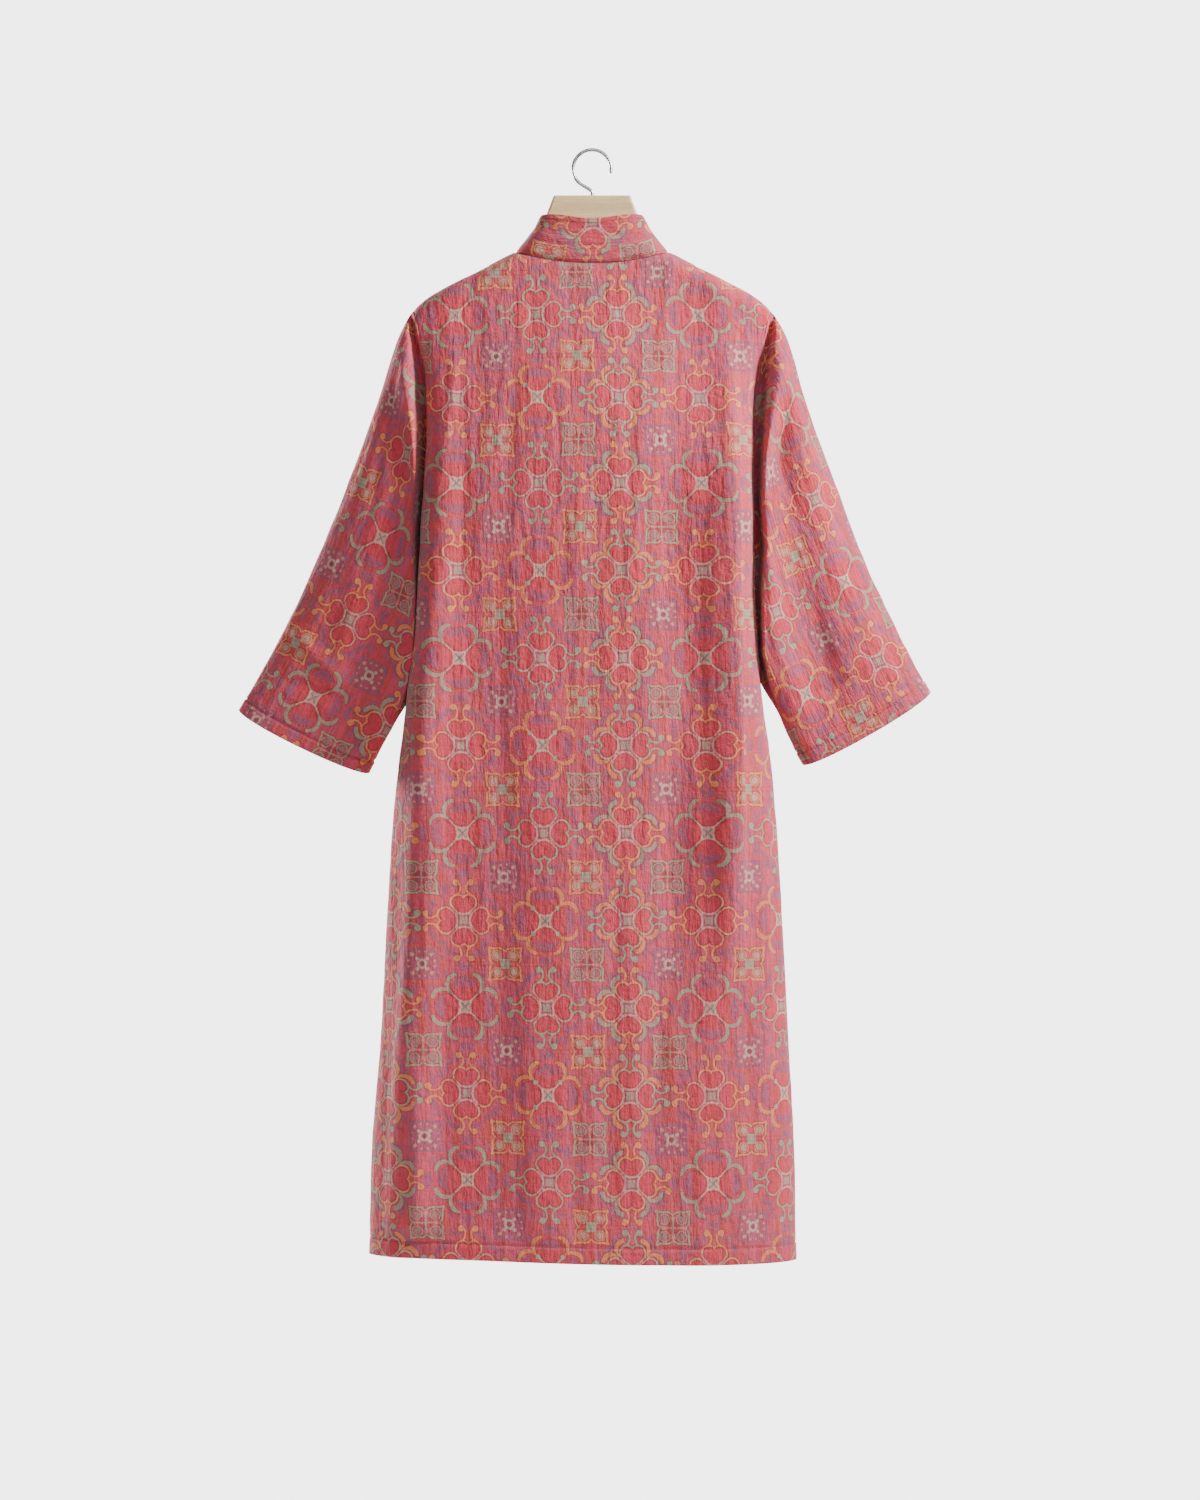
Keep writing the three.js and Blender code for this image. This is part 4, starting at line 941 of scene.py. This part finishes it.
for end in (0, -1):
    k = np.arange(columns // 2)
    low, high = ids[end, k], ids[end, columns - 1 - k]
    cap = np.stack([low[:-1], high[:-1], high[1:], low[1:]], -1)
    quads.append(cap if end == 0 else cap[:, ::-1])
quads = np.concatenate(quads)
points = settled(loop.reshape(-1, 3))
band_uv = np.stack([across_loop - 14, length[:, None] + 0 * across_loop], -1).reshape(-1, 2) / 1000
band = piece("robe_neck_band", points, outward(points, quads), band_uv, gauze)
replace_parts(band, "neck_band")
for column in (13, 1):  # a row of stitches beside the fold, and one beside the seam
    sewn(outer[:, column], out)

# %% [markdown]
# ## The stitches
# The hems, the cuffs and the band's edges are topstitched with a dark red thread, about seven stitches to
# the inch. Sewing them by hand would be two thousand small objects. Here a Geometry Nodes tree walks each
# kept line, sets a point every 3.4 mm and puts one short rounded stitch of few faces on it, along the line.

# %% Sew the stitches
STITCH = {"Stitch pitch": 0.0034, "Stitch length": 0.0026, "Thread thickness": 0.0007}


def thread_material():
    material, tree, shader = new_material("dark_red_thread")
    place = tree.nodes.new("ShaderNodeTexCoord").outputs["Object"]
    tint = noise(tree, place, (900, 900), seed=2.0)
    tree.links.new(blend(tree, srgb(128, 44, 52), srgb(176, 78, 84), tint), shader.inputs["Base Color"])
    add_bump(tree, shader, tint, 0.0002)
    set_inputs(shader, {"Roughness": 0.7})
    return material


def stitch_tree():
    tree = bpy.data.node_groups.new("sewing", "GeometryNodeTree")
    face = tree.interface
    for name, kind in (("Lines", "Geometry"), *((name, "Float") for name in STITCH), ("Thread", "Material")):
        face.new_socket(name, in_out="INPUT", socket_type="NodeSocket" + kind)
    face.new_socket("Stitches", in_out="OUTPUT", socket_type="NodeSocketGeometry")
    given, result, curve, steps, tangent, turn, ball, size, place, real, finish = map(tree.nodes.new, (
        "NodeGroupInput", "NodeGroupOutput", "GeometryNodeMeshToCurve", "GeometryNodeResampleCurve",
        "GeometryNodeInputTangent", "FunctionNodeAlignRotationToVector", "GeometryNodeMeshUVSphere",
        "ShaderNodeCombineXYZ", "GeometryNodeInstanceOnPoints", "GeometryNodeRealizeInstances",
        "GeometryNodeSetMaterial"))
    steps.mode, turn.axis = "LENGTH", "Z"
    set_inputs(ball, {"Segments": 6, "Rings": 4, "Radius": 0.5})
    for source, out, target, into in (
            (given, "Lines", curve, "Mesh"), (curve, 0, steps, "Curve"),
            (given, "Stitch pitch", steps, "Length"), (tangent, 0, turn, "Vector"),
            (given, "Thread thickness", size, "X"), (given, "Thread thickness", size, "Y"),
            (given, "Stitch length", size, "Z"),
            (steps, 0, place, "Points"), (ball, "Mesh", place, "Instance"), (turn, 0, place, "Rotation"),
            (size, 0, place, "Scale"), (place, 0, real, 0), (real, 0, finish, "Geometry"),
            (given, "Thread", finish, "Material"), (finish, 0, result, 0)):
        tree.links.new(source.outputs[out], target.inputs[into])
    return tree


def sew(name, lines, thread):
    points = np.concatenate(lines)
    starts = np.cumsum([0] + [len(line) for line in lines])
    edges = [(i, i + 1) for a, b in zip(starts, starts[1:]) for i in range(a, b - 1)]
    mesh = bpy.data.meshes.new(name + "_lines")
    mesh.from_pydata(points.tolist(), edges, [])
    guide = add_object(name + "_lines", mesh)
    modifier = guide.modifiers.new("sewing", "NODES")
    modifier.node_group = stitch_tree()
    inputs = {i.name: i.identifier for i in modifier.node_group.interface.items_tree if i.in_out == "INPUT"}
    for label, value in {**STITCH, "Thread": thread}.items():
        modifier[inputs[label]] = value
    evaluated = guide.evaluated_get(bpy.context.evaluated_depsgraph_get())
    made = bpy.data.meshes.new_from_object(evaluated)
    made.polygons.foreach_set("use_smooth", np.ones(len(made.polygons), bool))
    bpy.data.objects.remove(guide)
    obj = add_object(name, made)
    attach(obj, "root")
    print(name, len(made.polygons), "faces")


sew("robe_stitches", stitch_lines, thread_material())

# %% [markdown]

# %% [markdown]
# ## The wooden hanger
# The hanger is cut from a pale hardwood board, rounded and lacquered. Its shape is in the imported model
# already. Wood needs long grain along the arms, finer pores in it and a soft sheen. Noise that is stretched
# at least fifteen times along x gives both, on Object coordinates, because the piece never moves.

# %% Finish the wood
def wood_material():
    material, tree, shader = new_material("pale_hardwood")
    link = tree.links.new
    split, join = tree.nodes.new("ShaderNodeSeparateXYZ"), tree.nodes.new("ShaderNodeCombineXYZ")
    link(tree.nodes.new("ShaderNodeTexCoord").outputs["Object"], split.inputs[0])
    link(split.outputs[0], join.inputs[0])
    across_grain = Number(tree, split.outputs[2]) + Number(tree, split.outputs[1]) * 0.35
    link(across_grain.socket, join.inputs[1])
    bands = noise(tree, join.outputs[0], (7, 105), 3.0, 0.6, 4.0)
    grain = noise(tree, join.outputs[0], (40, 900), 3.0, 0.6, 8.0)
    pores = noise(tree, join.outputs[0], (160, 2600), 1.0, 0.5, 6.0)
    colour = srgb(232, 205, 156)
    for darker, share in ((srgb(212, 176, 122), bands.inside(0.46, -0.3) * 0.7),
                          (srgb(184, 142, 92), grain.inside(0.56, -0.2) * 0.30),
                          (srgb(150, 108, 66), pores.inside(0.66, -0.08) * 0.35)):
        colour = blend(tree, colour, darker, share)
    link(colour, shader.inputs["Base Color"])
    add_bump(tree, shader, grain * 0.6 + pores * 0.4, 0.00025)
    link((grain * 0.16 + 0.34).socket, shader.inputs["Roughness"])
    set_inputs(shader, {"Coat Weight": 0.2, "Coat Roughness": 0.3})
    return material


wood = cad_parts["hanger_wood"]
for wood_slot in wood.material_slots:
    wood_slot.material = wood_material()
print("wood faces:", len(wood.data.polygons))

# %% [markdown]
# ## The wire hook
# The hook is one zinc-plated wire, pushed into the wood and bent round. Swept as a tube along its path: a
# ring of points at each station, turned with the path, which stays in one plane. Its end is rounded off.

# %% Bend the hook
WIRE, BEND_RADIUS, SPOKES = 1.9, 19.0, 16


def wire_path():
    reach, top = BEND_RADIUS + WIRE, HOOK_SEAT - BEND_RADIUS
    turns = np.radians(np.arange(-50, 191, 16))
    x = np.concatenate([[0, 0, 0.5], reach * np.cos(turns)])
    z = np.concatenate([[HANGER_TOP - 13.5, HANGER_TOP, HANGER_TOP + 5], top + reach * np.sin(turns)])
    step = np.hypot(np.diff(x), np.diff(z)) ** 0.5
    knots = running(step)
    points = np.stack([x, z], -1)
    ends = np.concatenate([[2 * points[0] - points[1]], points, [2 * points[-1] - points[-2]]])
    times = np.concatenate([[-step[0]], knots, [knots[-1] + step[-1]]])
    path = []
    for t in np.linspace(0, knots[-1], 150):
        i = min(int(np.searchsorted(knots, t, side="right")), len(knots) - 1)
        p, k = ends[i - 1:i + 3], times[i - 1:i + 3]
        line = lambda a, b, ta, tb: a + (b - a) * (t - ta) / (tb - ta)
        first = [line(p[j], p[j + 1], k[j], k[j + 1]) for j in range(3)]
        second = [line(first[j], first[j + 1], k[j], k[j + 2]) for j in range(2)]
        path.append(line(second[0], second[1], k[1], k[2]))
    return np.array(path)


def wire_points():
    """Rings of points along the path, with its end rounded off."""
    path = wire_path()
    run = np.gradient(path, axis=0)
    run /= np.linalg.norm(run, axis=1, keepdims=True)
    cap = np.linspace(0, np.pi / 2, 6)[1:-1]
    centres = np.concatenate([path, path[-1] + WIRE * 0.8 * np.sin(cap)[:, None] * run[-1]])
    radii = np.concatenate([np.full(len(path), WIRE), WIRE * np.cos(cap)])[:, None]
    ways = np.concatenate([run, np.repeat(run[-1:], len(cap), axis=0)])
    spin = np.linspace(0, 2 * np.pi, SPOKES + 1)[:-1]
    side_x, side_z = -ways[:, 1:], ways[:, :1]
    return np.stack([centres[:, :1] + radii * np.cos(spin) * side_x, radii * np.sin(spin) + 0 * side_x,
                     centres[:, 1:] + radii * np.cos(spin) * side_z - HOOK_SEAT], -1) / 1000


build = bmesh.new()
rings = [[build.verts.new(p) for p in row] for row in wire_points()]
for low, high in zip(rings, rings[1:]):
    for k in range(SPOKES):
        after = (k + 1) % SPOKES
        build.faces.new((low[k], low[after], high[after], high[k])).smooth = True
build.faces.new(rings[0])
build.faces.new(rings[-1][::-1])
bmesh.ops.recalc_face_normals(build, faces=build.faces)
hook_mesh = bpy.data.meshes.new("hanger_hook_wire")
build.to_mesh(hook_mesh)
build.free()
hook_wire = add_object("hanger_hook_wire", hook_mesh)
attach(hook_wire, "root")
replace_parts(hook_wire, "hanger_hook")
print("hook:", len(hook_mesh.polygons), "faces")

# %% [markdown]
# Drawn wire has faint scratches along it and a dull zinc bloom in patches, so its roughness varies a little.

# %% Finish the wire
def wire_material():
    material, tree, shader = new_material("zinc_plated_wire")
    place = tree.nodes.new("ShaderNodeTexCoord").outputs["Object"]
    bloom = noise(tree, place, (240, 240), seed=5.0)
    scratch = noise(tree, place, (2400, 500), 2.0, 0.6, 9.0)
    tree.links.new(blend(tree, srgb(176, 179, 184), srgb(206, 208, 210), bloom), shader.inputs["Base Color"])
    tree.links.new((bloom * 0.18 + scratch * 0.10 + 0.16).socket, shader.inputs["Roughness"])
    add_bump(tree, shader, scratch, 0.00008)
    set_inputs(shader, {"Metallic": 1.0})
    print("wire finish nodes:", len(tree.nodes))
    return material


hook_mesh.materials.append(wire_material())

# %% [markdown]
# ## The camera, the lights and the floor
# The robe is seen straight from behind, from four metres away, so that its sides stay nearly parallel. A
# soft light from the right and above shades it, weaker ones fill in from the lower left and from above the
# camera, two more light its front, and the pale room does the rest.

# %% Camera, lights, floor
VIEW_MIDDLE, VIEW_HEIGHT, SENSOR = 557.7, 1.65, 36  # mm above the hem, metres, mm
EYE = (-0.0088, 4.0, (VIEW_MIDDLE - HOOK_SEAT) / 1000)
camera = add_object("camera", bpy.data.cameras.new("camera"))
camera.location = EYE
camera.rotation_euler = (math.radians(90), 0, math.radians(180))
camera.data.sensor_width = SENSOR
camera.data.lens = SENSOR * EYE[1] / VIEW_HEIGHT
bpy.context.scene.camera = camera


def soft_light(name, place, size, watts, aim=-0.62):
    """A round soft light that points at the height aim on the robe's middle line."""
    light = bpy.data.lights.new(name, "AREA")
    light.shape, light.size, light.energy = "DISK", size, watts
    obj = add_object(name, light)
    obj.location = place
    way = mathutils.Vector((0, 0, aim)) - obj.location
    obj.rotation_euler = way.to_track_quat("-Z", "Y").to_euler()


soft_light("key", (-1.9, 0.80, 0.72), 0.8, 142, -0.25)
soft_light("low_fill", (1.5, 1.0, -1.7), 1.0, 5, -1.1)
soft_light("fill", (-0.6, 3.4, 1.4), 2.2, 42, -0.40)
soft_light("front_key", (1.75, -1.15, -0.1), 1.0, 90)
soft_light("front_fill", (-1.2, -3.2, 0.3), 2.2, 50)

world = bpy.data.worlds.new("pale_room")
bpy.context.scene.world = world
world.use_nodes = True
set_inputs(world.node_tree.nodes["Background"], {"Color": (1, 1, 1, 1), "Strength": 0.20})


def stage(name, mesh, looks):
    """Sets a backdrop or floor round the robe."""
    material, _, shader = new_material(name)
    set_inputs(shader, looks)
    mesh.materials.append(material)
    obj = add_object(name, mesh)
    return obj


# a wide pale dome stands for the walls: only the camera sees it, so it doesn't flood the cloth with light
dome_mesh = bpy.data.meshes.new("studio_walls")
build = bmesh.new()
bmesh.ops.create_icosphere(build, subdivisions=3, radius=14)
build.to_mesh(dome_mesh)
build.free()
dome = stage("studio_walls", dome_mesh, {"Base Color": (0, 0, 0, 1), "Specular IOR Level": 0,
                                         "Emission Color": (1, 1, 1, 1), "Emission Strength": 4.4})
dome.visible_diffuse = dome.visible_glossy = dome.visible_transmission = dome.visible_shadow = False

FLOOR_RADIUS, FLOOR_HEIGHT, FLOOR_SIDES = 2.0, -2.12, 96
floor_mesh = bpy.data.meshes.new("floor")
turns = np.linspace(0, 2 * np.pi, FLOOR_SIDES + 1)[:-1]
rim = [(FLOOR_RADIUS * math.cos(t), FLOOR_RADIUS * math.sin(t), FLOOR_HEIGHT) for t in turns]
floor_mesh.from_pydata(rim, [], [list(range(FLOOR_SIDES))])
stage("floor", floor_mesh, {"Base Color": (0.8, 0.8, 0.8, 1), "Roughness": 0.9})
